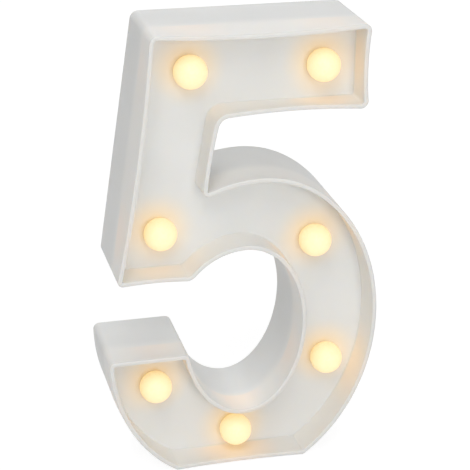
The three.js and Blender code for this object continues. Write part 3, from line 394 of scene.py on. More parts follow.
class MarqueeStageSettings(bpy.types.PropertyGroup):
    """Light and floor."""
    sky: bpy.props.FloatProperty(
        name="Sky", description="Strength of the even studio light",
        default=0.37, min=0, max=3)
    key: bpy.props.FloatProperty(
        name="Key", description="Power of the large lamp above, in front and to the left",
        default=7.7, min=0, max=100, unit="POWER")
    fill: bpy.props.FloatProperty(
        name="Fill", description="Power of the low lamp in front",
        default=7.2, min=0, max=100, unit="POWER")
    back: bpy.props.FloatProperty(
        name="Back", description="Power of the lamp above and behind",
        default=6.2, min=0, max=100, unit="POWER")
    floor: bpy.props.FloatProperty(
        name="Floor size", description="Length of the floor's side",
        default=4.0, min=1, max=20, unit="LENGTH")


# Places and profiles

def about(middle, half):
    """The two ends of a stretch, from its middle and half its length."""
    return middle - half, middle + half


def rows(middle, pitch):
    """Three values in a row, a pitch apart."""
    return [middle + step * pitch for step in (-1, 0, 1)]


def box_centre(node):
    """Middle of a node's box, seen from the front."""
    low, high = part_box(node)
    return (low.x + high.x) / 2, (low.z + high.z) / 2


def globe_centre(lamp):
    """Centre of a globe's ball, seen from the front."""
    return box_centre(f"globe_{lamp}")


def beside_switch():
    """The places of the switch's two screws."""
    x, z = box_centre("switch_body")
    return [(across, z) for across in about(x, SWITCH_SCREW_REACH)]


def arc(middle, reach, first, last, steps):
    """Points along an arc of a profile. Its angle is in degrees from the profile's axis."""
    turns = [math.radians(first + (last - first) * step / steps) for step in range(steps + 1)]
    return [(middle[0] + reach[0] * math.sin(turn), middle[1] + reach[1] * math.cos(turn))
            for turn in turns]


def quarter(radius, steps):
    """A rounded edge: steps back from the first face, and in from the second."""
    turns = [math.radians(90 * step / steps) for step in range(steps + 1)]
    return [(radius * (1 - math.sin(turn)), radius * (1 - math.cos(turn))) for turn in turns]


def on_axis(points):
    """A profile of radius and height as places, with its two ends on the axis."""
    last = len(points) - 1
    return [Vector((0 if index in (0, last) else max(0, radius), along, 0))
            for index, (radius, along) in enumerate(points)]


# Outline of the number

Run = namedtuple("Run", "points steps bow corner ribs")


def ellipse(centre_x, centre_z, across, up, start, end, count=160):
    """Points along an elliptical arc, seen from the front."""
    angles = [start + (end - start) * index / count for index in range(count + 1)]
    return [Vector((centre_x + across * math.cos(a), centre_z + up * math.sin(a))) for a in angles]


def rise(across, radius_across, radius_up):
    """Height of an ellipse's edge above its middle."""
    return radius_up * math.sqrt(1 - (across / radius_across) ** 2)


def outline_runs():
    """The outline's runs, anticlockwise from the front. A run's corner is the one at its end."""
    right = math.pi / 2
    half = math.pi
    bowl_rise = BOWL_TOP - WAIST
    eye_rise = EYE_TOP - WAIST
    eye_drop = WAIST - EYE_BOTTOM
    lower_centre = WIDTH - BOWL_LOWER_RADIUS
    bowl_drop = WAIST / rise(BASE_RIGHT - lower_centre, BOWL_LOWER_RADIUS, 1)
    tail_drop = TAIL_WAIST / rise(TAIL_RADIUS - BASE_LEFT, TAIL_RADIUS, 1)
    notch_height = WAIST + rise(BOWL_CROWN - NOTCH, BOWL_SHOULDER_RADIUS, bowl_rise)
    block_angle = half - math.asin((BLOCK_BOTTOM - WAIST) / eye_rise)
    tail_start_angle = math.asin((WAIST - TAIL_TOP) / eye_drop) - half
    tail_angle = half - math.asin((TAIL_TOP - TAIL_WAIST) / tail_drop)
    foot_angle = half + math.asin(TAIL_WAIST / tail_drop)
    base_angle = -math.asin(WAIST / bowl_drop)
    notch_angle = math.acos((NOTCH - BOWL_CROWN) / BOWL_SHOULDER_RADIUS)
    block_end = Vector((EYE_CENTRE + EYE_SHOULDER_RADIUS * math.cos(block_angle), BLOCK_BOTTOM))
    tail_start = Vector((EYE_CENTRE + EYE_RADIUS * math.cos(tail_start_angle), TAIL_TOP))
    tail_end = Vector((TAIL_RADIUS + TAIL_RADIUS * math.cos(tail_angle), TAIL_TOP))
    notch = Vector((NOTCH, notch_height))
    crook = Vector((ARM_LEFT, ARM_BOTTOM))
    arm_low = Vector((ARM_RIGHT, ARM_BOTTOM))
    arm_high = Vector((ARM_RIGHT, HEIGHT))
    top_left = Vector((STEM_TOP_LEFT, HEIGHT))
    block_start = Vector((BLOCK_LEFT, BLOCK_BOTTOM))
    lower_bowl = ellipse(lower_centre, WAIST, BOWL_LOWER_RADIUS, bowl_drop, base_angle, 0)
    upper_bowl = ellipse(BOWL_CROWN, WAIST, WIDTH - BOWL_CROWN, bowl_rise, 0, right)
    shoulder = ellipse(BOWL_CROWN, WAIST, BOWL_SHOULDER_RADIUS, bowl_rise, right, notch_angle)
    eye_shoulder = ellipse(EYE_CENTRE, WAIST, EYE_SHOULDER_RADIUS, eye_rise, block_angle, right)
    eye_upper = ellipse(EYE_CENTRE, WAIST, EYE_RADIUS, eye_rise, right, 0)
    eye_lower = ellipse(EYE_CENTRE, WAIST, EYE_RADIUS, eye_drop, 0, -right)
    eye_left = ellipse(EYE_CENTRE, WAIST, EYE_RADIUS, eye_drop, -right, tail_start_angle)
    tail = ellipse(TAIL_RADIUS, TAIL_WAIST, TAIL_RADIUS, tail_drop, tail_angle, foot_angle)
    return [
        Run([Vector((BASE_LEFT, 0)), Vector((BASE_RIGHT, 0))], 16, 0.5, 0, 2),
        Run(lower_bowl, 40, 0, 0, 3),
        Run(upper_bowl, 44, 0, 0, 3),
        Run(shoulder, 10, 0, CROOK_CORNER, 0),
        Run([notch, crook], 10, 0.3, INNER_CORNER, 1),
        Run([crook, arm_low], 16, 0.8, OUTER_CORNER, 2),
        Run([arm_low, arm_high], 12, 0.5, OUTER_CORNER, 1),
        Run([arm_high, top_left], 20, 1, OUTER_CORNER, 3),
        Run([top_left, block_start], 22, 1, BLOCK_CORNER, 3),
        Run([block_start, block_end], 10, 0.4, EYE_CORNER, 1),
        Run(eye_shoulder, 14, 0, 0, 0),
        Run(eye_upper, 28, 0, 0, 1),
        Run(eye_lower, 28, 0, 0, 1),
        Run(eye_left, 26, 0, EYE_CORNER, 1),
        Run([tail_start, tail_end], 10, 0, TAIL_CORNER, 1),
        Run(tail, 36, 0.5, 0, 2),
    ]


def evenly(run, start_cut, steps):
    """Places and directions at even steps along a run, with its ends cut back for the corners."""
    points = run.points
    lengths = [0]
    for before, after in zip(points, points[1:]):
        lengths.append(lengths[-1] + (after - before).length)
    span = lengths[-1] - start_cut - run.corner
    found = []
    segment = 0
    for step in range(steps + 1):
        target = start_cut + span * step / steps
        while segment < len(points) - 2 and lengths[segment + 1] < target:
            segment += 1
        share = (target - lengths[segment]) / (lengths[segment + 1] - lengths[segment])
        place = points[segment].lerp(points[segment + 1], share)
        found.append((place, (points[segment + 1] - points[segment]).normalized()))
    return found


def rounded(start, tip, end):
    """Points of a rounded corner, without its two ends."""
    leaving = start.lerp(tip, ROUND_HANDLE)
    arriving = end.lerp(tip, ROUND_HANDLE)
    points = []
    for step in range(1, CORNER_STEPS):
        t = step / CORNER_STEPS
        s = 1 - t
        points.append(s ** 3 * start + 3 * s * s * t * leaving + 3 * s * t * t * arriving
                      + t ** 3 * end)
    return points


def outline(bow):
    """The closed outline, with its straight runs drawn in by the bow."""
    runs = outline_runs()
    stretches = [evenly(run, runs[index - 1].corner, run.steps) for index, run in enumerate(runs)]
    places = []
    for index, run in enumerate(runs):
        last = run.steps if run.corner > 0 else run.steps - 1
        for step in range(last + 1):
            along = step / run.steps
            place, way = stretches[index][step]
            drawn = bow * run.bow * 4 * along * (1 - along)
            places.append(Vector((place.x - way.y * drawn, place.y + way.x * drawn)))
        if run.corner > 0:
            following = stretches[(index + 1) % len(runs)]
            places += rounded(stretches[index][-1][0], run.points[-1], following[0][0])
    return places


def inset(points, distance):
    """The outline moved inwards. On a corner tighter than the distance it moves a little less."""
    moved = []
    for index, point in enumerate(points):
        before = points[index - 1]
        after = points[(index + 1) % len(points)]
        arriving = (point - before).normalized()
        leaving = (after - point).normalized()
        along = (arriving + leaving).normalized()
        turn = arriving.x * leaving.y - arriving.y * leaving.x
        radius = (after - before).length / 2 / max(abs(turn), 1e-9)
        reach = min(distance, 0.85 * radius) if turn > 0 else distance
        reach /= along.dot(arriving)
        moved.append(Vector((point.x - along.y * reach, point.y + along.x * reach)))
    return moved


def at_depth(points, deep):
    """Points of the outline as places in the frame, at a depth behind the rim."""
    return [Vector((p.x - WIDTH / 2, FRONT + deep, p.y)) for p in points]


# Modelling helpers

def deselect_all():
    """Leaves edit mode and deselects every object."""
    if bpy.context.object and bpy.context.object.mode != "OBJECT":
        bpy.ops.object.mode_set(mode="OBJECT")
    bpy.ops.object.select_all(action="DESELECT")


def pick(piece):
    """Selects one object and makes it active."""
    deselect_all()
    piece.select_set(True)
    bpy.context.view_layer.objects.active = piece


def named(name):
    """Names the object that was just made, and its mesh."""
    piece = bpy.context.object
    piece.name = name
    piece.data.name = name
    return piece


def settled(piece, place=(0, 0, 0), turn=(0, 0, 0)):
    """Turns a piece, moves it to a place and applies both to its mesh."""
    pick(piece)
    piece.rotation_euler = turn
    piece.location = place
    bpy.ops.object.transform_apply(location=True, rotation=True, scale=True)
    return piece


def edit(piece):
    """Opens a piece in edit mode with everything selected."""
    pick(piece)
    bpy.ops.object.mode_set(mode="EDIT")
    bpy.ops.mesh.select_mode(type="VERT")
    bpy.ops.mesh.select_all(action="SELECT")


def leave():
    """Goes back to object mode."""
    bpy.ops.object.mode_set(mode="OBJECT")


def choose_edges(piece, wanted):
    """In edit mode, selects the edges whose two ends pass a test."""
    bpy.ops.mesh.select_mode(type="EDGE")
    bpy.ops.mesh.select_all(action="DESELECT")
    shape = bmesh.from_edit_mesh(piece.data)
    for edge in shape.edges:
        edge.select_set(wanted(edge.verts[0].co, edge.verts[1].co))
    bmesh.update_edit_mesh(piece.data)


def apply_modifier(piece, kind, **values):
    """Adds a modifier, sets its values and applies it."""
    pick(piece)
    bpy.ops.object.modifier_add(type=kind)
    modifier = piece.modifiers[-1]
    for key, value in values.items():
        setattr(modifier, key, value)
    bpy.ops.object.modifier_apply(modifier=modifier.name)


def combine(operation, piece, others):
    """Joins other solids to a piece, or cuts them away, one by one, and removes them."""
    for other in others:
        apply_modifier(piece, "BOOLEAN", object=other, operation=operation, solver="EXACT")
        bpy.data.objects.remove(other)


def weld(piece, *others):
    """Joins other solids to a piece."""
    combine("UNION", piece, others)


def cut(piece, *others):
    """Cuts other solids out of a piece."""
    combine("DIFFERENCE", piece, others)


def together(pieces):
    """Joins pieces that don't touch into one object."""
    deselect_all()
    for one in pieces:
        one.select_set(True)
    bpy.context.view_layer.objects.active = pieces[0]
    bpy.ops.object.join()
    return bpy.context.object


def outwards(piece, merge=MERGE):
    """Merges doubles and turns every face outwards."""
    edit(piece)
    bpy.ops.mesh.remove_doubles(threshold=merge)
    bpy.ops.mesh.normals_make_consistent(inside=False)
    leave()


def smooth(piece, degrees=30):
    """Clears slivers, then shades smooth over shallow angles and keeps flat faces flat."""
    edit(piece)
    bpy.ops.mesh.dissolve_degenerate(threshold=MERGE)
    leave()
    bpy.ops.object.shade_smooth_by_angle(angle=math.radians(degrees))
    apply_modifier(piece, "WEIGHTED_NORMAL", keep_sharp=True)


def drawn_loop(name, places):
    """A closed line of edges through the places, started from a circle."""
    deselect_all()
    bpy.ops.mesh.primitive_circle_add(vertices=len(places), radius=MM, fill_type="NOTHING")
    piece = named(name)
    for vertex, place in zip(piece.data.vertices, places):
        vertex.co = place
    return piece


def lofted(name, rings):
    """A closed solid extruded from ring to ring, with its two ends filled."""
    piece = drawn_loop(name, rings[0])
    order = piece.data.attributes.new("place", "INT", "POINT")
    order.data.foreach_set("value", range(len(rings[0])))
    edit(piece)
    for ring in rings[1:]:
        bpy.ops.mesh.extrude_edges_move()
        shape = bmesh.from_edit_mesh(piece.data)
        layer = shape.verts.layers.int["place"]
        for vertex in shape.verts:
            if vertex.select:
                vertex.co = ring[vertex[layer]]
        bmesh.update_edit_mesh(piece.data)
    bpy.ops.mesh.select_all(action="SELECT")
    bpy.ops.mesh.fill_holes(sides=0)
    leave()
    piece.data.attributes.remove(piece.data.attributes["place"])
    outwards(piece)
    return piece


def tube_rings(points, radius, sides):
    """Rings of a round tube through the points, square to the way that they run."""
    rings = []
    side = Vector((0, 0, 1))
    for index, point in enumerate(points):
        before = points[max(0, index - 1)]
        after = points[min(len(points) - 1, index + 1)]
        way = (after - before).normalized()
        side = (side - way * side.dot(way)).normalized()
        up = way.cross(side)
        turns = [2 * math.pi * corner / sides for corner in range(sides)]
        rings.append([point + radius * (side * math.cos(a) + up * math.sin(a)) for a in turns])
    return rings


def spun(name, profile, steps):
    """A closed solid of revolution about the Y axis, from a profile of radius and height."""
    piece = drawn_loop(name, on_axis(profile))
    edit(piece)
    shape = bmesh.from_edit_mesh(piece.data)
    shape.edges.ensure_lookup_table()
    bpy.ops.mesh.select_all(action="DESELECT")
    bpy.ops.mesh.select_mode(type="EDGE")
    for edge in shape.edges:
        ends = {vertex.index for vertex in edge.verts}
        edge.select_set(ends == {0, len(profile) - 1})
    bmesh.update_edit_mesh(piece.data)
    bpy.ops.mesh.delete(type="EDGE")
    bpy.ops.mesh.select_mode(type="VERT")
    bpy.ops.mesh.select_all(action="SELECT")
    bpy.ops.mesh.spin(steps=steps, angle=2 * math.pi, center=(0, 0, 0), axis=(0, 1, 0))
    leave()
    outwards(piece, MERGE / 2)
    return piece


def copy_to(pattern, name, place, turn=0):
    """A copy with its own mesh, turned about the depth and moved to a place."""
    pick(pattern)
    bpy.ops.object.duplicate(linked=False)
    return settled(named(name), place, (0, turn, 0))


def block(name, across, deep, up, round_off=0):
    """A box placed by its ends across, in depth and in height, with its edges rounded off."""
    deselect_all()
    middle = [(low + high) / 2 for low, high in (across, deep, up)]
    bpy.ops.mesh.primitive_cube_add(size=1, location=middle)
    piece = named(name)
    piece.scale = [high - low for low, high in (across, deep, up)]
    bpy.ops.object.transform_apply(location=True, rotation=True, scale=True)
    if round_off:
        edit(piece)
        bpy.ops.mesh.bevel(offset=round_off, segments=2, affect="EDGES")
        leave()
    return piece


def block_at(name, place, halves, deep, round_off=0):
    """A box about a place, from its half sizes across and in height, and its depth."""
    across, up = (about(middle, half) for middle, half in zip(place, halves))
    return block(name, across, deep, up, round_off)


def rod(name, place, radius, deep, sides=48):
    """A round rod along the depth, about a place."""
    deselect_all()
    x, z = place
    front, back = deep
    bpy.ops.mesh.primitive_cylinder_add(
        vertices=sides, radius=radius, depth=back - front, rotation=(math.pi / 2, 0, 0),
        location=(x, (front + back) / 2, z))
    piece = named(name)
    bpy.ops.object.transform_apply(location=True, rotation=True, scale=True)
    return piece


def rounded_plate(name, across, deep, up, round_off=0):
    """A plate with rounded corners, and with its back edge rounded off."""
    front, back = deep
    piece = block(name, across, deep, up)
    edit(piece)
    choose_edges(piece, lambda a, b: abs(a.y - b.y) > (back - front) / 2)
    bpy.ops.mesh.bevel(offset=PLATE_CORNER, segments=8, affect="EDGES")
    if round_off:
        choose_edges(piece, lambda a, b: min(a.y, b.y) > back - MM / 100)
        bpy.ops.mesh.bevel(offset=round_off, segments=3, affect="EDGES")
    leave()
    return piece


def lettering(text, place, size):
    """Letters to engrave in the back, read from behind, as a solid."""
    deselect_all()
    x, z = place
    above = 0.2 * MM
    bpy.ops.object.text_add(location=(x, BACK + above, z), rotation=(math.pi / 2, 0, math.pi))
    words = bpy.context.object
    words.data.body = text
    words.data.size = size
    words.data.align_x = "CENTER"
    words.data.align_y = "CENTER"
    words.data.extrude = LETTER_DEPTH + above
    words.data.resolution_u = 4
    bpy.ops.object.convert(target="MESH")
    bpy.ops.object.transform_apply(location=True, rotation=True, scale=True)
    outwards(bpy.context.object)
    return bpy.context.object


def finish_piece(piece, material, node, body=NUMBER):
    """Gives a piece its material and its body, and hides the node that it stands for."""
    piece.data.materials.clear()
    piece.data.materials.append(material)
    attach(piece, body)
    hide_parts(node)


# Materials

class Wiring:
    """A tree of shader nodes, with short words for the nodes that are used often."""

    def __init__(self, tree):
        self.nodes = tree.nodes
        self.links = tree.links

    def feed(self, socket, value):
        """Joins a socket to another socket, or sets it to a number or a colour."""
        if isinstance(value, bpy.types.NodeSocket):
            self.links.new(value, socket)
        elif socket.type == "RGBA":
            socket.default_value = (*value, 1)
        else:
            socket.default_value = value

    def add(self, kind, *inputs, **settings):
        """A new node with its settings. Its inputs are pairs of a name or a number and a value."""
        node = self.nodes.new(kind)
        for key, value in settings.items():
            setattr(node, key, value)
        for key, value in inputs:
            self.feed(node.inputs[key], value)
        return node

    def mapped(self, value, before, after):
        """A value eased from one range to another."""
        ranges = zip(("From Min", "From Max", "To Min", "To Max"), (*before, *after))
        return self.add("ShaderNodeMapRange", ("Value", value), *ranges,
                        interpolation_type="SMOOTHSTEP").outputs["Result"]

    def blended(self, factor, first, second, blend="MIX"):
        """Two colours mixed by a factor. A colour is a triple or a socket."""
        return self.add("ShaderNodeMix", ("Factor", factor), ("A", first), ("B", second),
                        data_type="RGBA", blend_type=blend).outputs["Result"]

    def joined(self, operation, first, second):
        """Two values joined by a Math node's operation."""
        return self.add("ShaderNodeMath", (0, first), (1, second),
                        operation=operation).outputs["Value"]

    def mixed(self, factor, first, second):
        """Two shaders mixed by a factor."""
        return self.add("ShaderNodeMixShader", ("Fac", factor), (1, first),
                        (2, second)).outputs["Shader"]

    def seen_directly(self):
        """1 for camera, glossy and transmission rays."""
        path = self.add("ShaderNodeLightPath").outputs
        either = self.joined("MAXIMUM", path["Is Camera Ray"], path["Is Glossy Ray"])
        return self.joined("MAXIMUM", either, path["Is Transmission Ray"])


class Finish(Wiring):
    """A piece's material, with its shader's sockets and its Object coordinates."""

    def __init__(self, name):
        self.material = bpy.data.materials.new(name)
        self.material.use_nodes = True
        super().__init__(self.material.node_tree)
        self.sockets = self.nodes["Principled BSDF"].inputs
        self.coordinates = self.add("ShaderNodeTexCoord").outputs["Object"]

    def set(self, name, value):
        """Gives one of the shader's sockets its value."""
        self.feed(self.sockets[name], value)

    def along(self, axis):
        """The Object coordinate along an axis."""
        return self.add("ShaderNodeSeparateXYZ", ("Vector", self.coordinates)).outputs[axis]

    def noise(self, scale, detail=3, roughness=0.5):
        """A noise texture on Object coordinates."""
        return self.add("ShaderNodeTexNoise", ("Scale", scale), ("Detail", detail),
                        ("Roughness", roughness), ("Vector", self.coordinates)).outputs["Fac"]

    def rough(self, grain, low, high):
        """Roughness that varies with a grain."""
        self.set("Roughness", self.mapped(grain, GRAIN, (low, high)))

    def relief(self, height, strength, distance):
        """Fine relief from a height."""
        bump = self.add("ShaderNodeBump", ("Strength", strength), ("Distance", distance),
                        ("Height", height))
        self.set("Normal", bump.outputs["Normal"])

    def lamp_distance(self):
        """Distance from the nearest lamp, measured from its neck."""
        nearest = None
        for x, z in map(globe_centre, LAMPS):
            away = self.add("ShaderNodeVectorMath", (0, self.coordinates),
                            (1, (x, LAMP_DEPTH, z)), operation="DISTANCE").outputs["Value"]
            nearest = self.joined("MINIMUM", nearest, away) if nearest else away
        return nearest

    def lamplight(self, colour, deep, painted_bleed, painted_wall_bleed):
        """A base colour tinted near the lamps with painted warm light and shade, and a painted glow
        that stands in for light leaking through the plastic.
        """
        away = self.lamp_distance()
        on_panel = self.joined("MULTIPLY", self.mapped(away, PANEL_FADE, FALLING),
                               self.mapped(deep, PANEL_GLOW_ENDS, FALLING))
        on_walls = self.joined("MULTIPLY", self.mapped(away, WALL_FADE, (WALL_LIGHT, 0)),
                               self.mapped(deep, WALL_GLOW_ENDS, FALLING))
        close = self.joined("MAXIMUM", on_panel, on_walls)
        # Painted glow on the panel and the walls near a lamp: emission that stands in for light
        # leaking through the plastic
        wall_glow = self.blended(on_walls, BLACK, painted_wall_bleed)
        self.set("Emission Color", self.blended(on_panel, wall_glow, painted_bleed))
        self.set("Emission Strength", 1)
        # Painted warm light and shade: near a lamp the colour is multiplied by a warm tint
        return self.blended(close, colour, LAMP_PAINTED_TINT, "MULTIPLY")


def scaled(colour, factor):
    """A colour made lighter or darker."""
    return tuple(min(1, part * factor) for part in colour)


def moulded_plastic(name, front, rear, painted_bleed=None, painted_wall_bleed=None):
    """Satin moulded plastic with a faint orange peel, with painted shade behind the panel and at the
    rim's front, and painted warm light and glow near the lamps.
    """
    finish = Finish(name)
    deep = finish.along("Y")
    # Painted shade: the colour turns from the lit front copy to the darker rear copy behind the panel
    behind = finish.mapped(deep, SHELL_DARKENS, RISING)
    shell = finish.blended(behind, front, rear)
    shade = finish.blended(behind, scaled(front, CLOUD_SHADE), scaled(rear, CLOUD_SHADE))
    patches = finish.mapped(finish.noise(scale=22, detail=2), CLOUDS, RISING)
    colour = finish.blended(patches, shell, shade)
    # Painted shade: the rim's front is made darker to tone down its highlight
    colour = finish.blended(finish.mapped(deep, RIM_EDGE, FALLING), colour,
                            scaled(front, RIM_PAINTED_SHADE))
    if painted_bleed:
        colour = finish.lamplight(colour, deep, painted_bleed, painted_wall_bleed)
    finish.set("Base Color", colour)
    finish.rough(finish.noise(scale=700, roughness=0.6), 0.44, 0.56)
    finish.relief(finish.noise(scale=1500, detail=2), strength=0.12, distance=0.15 * MM)
    finish.set("Subsurface Weight", 0.6)
    finish.set("Subsurface Radius", (1.0, 0.85, 0.7))
    finish.set("Subsurface Scale", 3.5 * MM)
    return finish.material


def frosted_glow(name, settings):
    """Frosted plastic that glows, whitest at the globe's front and warmer near the panel."""
    finish = Finish(name)
    deep = finish.along("Y")
    front = FRONT + settings.centre_depth - settings.radius
    ball = (front, front + 1.7 * settings.radius)
    glow = finish.blended(finish.mapped(deep, ball, RISING), tuple(settings.glow_front),
                          tuple(settings.glow_back))
    strength = finish.mapped(deep, ball, (settings.strength, BACK_LIGHT * settings.strength))
    ahead = finish.mapped(deep, GLOBE_GLOW_ENDS, (1, NECK_LIGHT))
    finish.set("Emission Color", glow)
    finish.set("Emission Strength", finish.joined("MULTIPLY", strength, ahead))
    grain = finish.noise(scale=900)
    finish.set("Base Color", finish.blended(finish.mapped(grain, GRAIN, RISING), *FROST))
    finish.rough(grain, 0.42, 0.55)
    finish.relief(grain, strength=0.08, distance=0.08 * MM)
    return finish.material


def plated_metal(name, colour, roughness, grain_scale):
    """Plated steel with faint drawing marks and stains."""
    finish = Finish(name)
    stains = finish.mapped(finish.noise(scale=160), GRAIN, RISING)
    grain = finish.noise(grain_scale, detail=4, roughness=0.6)
    finish.set("Base Color", finish.blended(stains, colour, scaled(colour, 0.82)))
    finish.set("Metallic", 1)
    finish.rough(grain, *about(roughness, 0.08))
    finish.relief(grain, strength=0.08, distance=0.05 * MM)
    return finish.material


def dyed_plastic(name, colour, roughness):
    """Coloured plastic or wire insulation with a fine grain."""
    finish = Finish(name)
    grain = finish.noise(scale=1200)
    share = finish.mapped(grain, GRAIN, RISING)
    finish.set("Base Color", finish.blended(share, colour, scaled(colour, 1.25)))
    finish.rough(grain, *about(roughness, 0.06))
    finish.relief(grain, strength=0.1, distance=0.06 * MM)
    return finish.material


def cell_wrap(name, nub_end, side, length):
    """A dry cell's plain wrap with a pale band at its raised end, and bare steel at both ends."""
    finish = Finish(name)
    from_nub = finish.add("ShaderNodeMath", (0, finish.along("X")), (1, -side),
                          (2, side * nub_end), operation="MULTIPLY_ADD").outputs["Value"]
    band = finish.mapped(from_nub, (8 * MM, 8.1 * MM), FALLING)
    nub = finish.mapped(from_nub, (1.35 * MM, 1.4 * MM), FALLING)
    base = finish.mapped(from_nub, (length - 0.12 * MM, length - 0.08 * MM), RISING)
    steel = finish.joined("MAXIMUM", nub, base)
    grain = finish.noise(scale=900, detail=2)
    finish.set("Base Color", finish.blended(steel, finish.blended(band, WRAP, WRAP_BAND), STEEL))
    finish.set("Metallic", steel)
    finish.rough(grain, 0.28, 0.38)
    finish.relief(grain, strength=0.06, distance=0.05 * MM)
    return finish.material


def clear_lens(name, legs_front):
    """A diode's warm clear epoxy, with tinned legs behind it."""
    finish = Finish(name)
    grain = finish.mapped(finish.noise(scale=500, detail=2), GRAIN, RISING)
    tinned = finish.mapped(finish.along("Y"), (legs_front, legs_front + 0.05 * MM), RISING)
    finish.set("Base Color", finish.blended(tinned, finish.blended(grain, *EPOXY), TINNED))
    finish.set("Metallic", tinned)
    finish.set("Roughness", finish.mapped(tinned, RISING, (0.12, 0.3)))
    finish.set("Emission Color", finish.blended(tinned, EPOXY_GLOW, BLACK))
    finish.set("Emission Strength", 1)
    finish.set("Coat Weight", 0.4)
    return finish.material


# Pieces

class MARQUEE_OT_stage(bpy.types.Operator):
    """Camera, floor, background and studio light."""
    bl_idname = "marquee.stage"
    bl_label = "Stage"

    def execute(self, context):
        settings = context.scene.marquee_stage
        self.add_camera()
        self.add_sky(settings.sky)
        self.add_floor(settings.floor)
        self.add_softbox("key_lamp", settings.key, azimuth=-23, elevation=50, size=1.1)
        self.add_softbox("fill_lamp", settings.fill, azimuth=0, elevation=15, size=0.7)
        self.add_softbox("back_lamp", settings.back, azimuth=180, elevation=50, size=1.1)
        context.scene.view_settings.view_transform = "Standard"
        return {"FINISHED"}

    def add_camera(self):
        """The camera at the photograph's place, squared up from its two directions."""
        deselect_all()
        bpy.ops.object.camera_add(location=CAMERA_PLACE)
        camera = named("photo_camera")
        ahead = CAMERA_AHEAD.normalized()
        right = (CAMERA_RIGHT - ahead * CAMERA_RIGHT.dot(ahead)).normalized()
        turn = Matrix((right, right.cross(ahead), -ahead)).transposed()
        camera.matrix_world = Matrix.Translation(CAMERA_PLACE) @ turn.to_4x4()
        camera.data.lens = CAMERA_LENS
        camera.data.sensor_width = SENSOR_WIDTH
        camera.data.clip_start = 0.01
        bpy.context.scene.camera = camera

    def add_sky(self, strength):
        """Even light on the object, and white for what the camera, gloss and glass see."""
        world = bpy.data.worlds.new("studio_sky")
        bpy.context.scene.world = world
        world.use_nodes = True
        sky = Wiring(world.node_tree)
        light = sky.nodes["Background"]
        sky.feed(light.inputs["Color"], STUDIO_WHITE)
        sky.feed(light.inputs["Strength"], strength)
        white = sky.add("ShaderNodeBackground", ("Color", (1, 1, 1)), ("Strength", 1))
        mix = sky.mixed(sky.seen_directly(), light.outputs["Background"],
                        white.outputs["Background"])
        sky.feed(sky.nodes["World Output"].inputs["Surface"], mix)

    def add_floor(self, size):
        """A pale floor that looks white and keeps the object's shadow."""
        deselect_all()
        bpy.ops.mesh.primitive_plane_add(size=size, location=(0, 0, FLOOR_HEIGHT))
        floor = bpy.context.object
        floor.name = "studio_floor"
        material = bpy.data.materials.new("studio_floor")
        material.use_nodes = True
        wiring = Wiring(material.node_tree)
        paint = wiring.nodes["Principled BSDF"]
        wiring.feed(paint.inputs["Base Color"], FLOOR_PAINT)
        wiring.feed(paint.inputs["Roughness"], 0.9)
        glow = wiring.add("ShaderNodeEmission", ("Strength", 1.22))
        pale = wiring.mixed(0.7, paint.outputs["BSDF"], glow.outputs["Emission"])
        mix = wiring.mixed(wiring.seen_directly(), paint.outputs["BSDF"], pale)
        wiring.feed(wiring.nodes["Material Output"].inputs["Surface"], mix)
        floor.data.materials.append(material)

    def add_softbox(self, name, power, azimuth, elevation, size):
        """A large round lamp aimed at the middle of the number. Azimuth 0 is in front of it."""
        around = math.radians(azimuth)
        above = math.radians(elevation)
        way = Vector((math.sin(around) * math.cos(above), -math.cos(around) * math.cos(above),
                      math.sin(above)))
        deselect_all()
        bpy.ops.object.light_add(
            type="AREA", location=Vector((0, 0, HEIGHT / 2)) + STUDIO_REACH * way)
        lamp = bpy.context.object
        lamp.name = name
        lamp.data.shape = "DISK"
        lamp.data.size = size
        lamp.data.energy = power
        lamp.rotation_euler = way.to_track_quat("Z", "Y").to_euler()


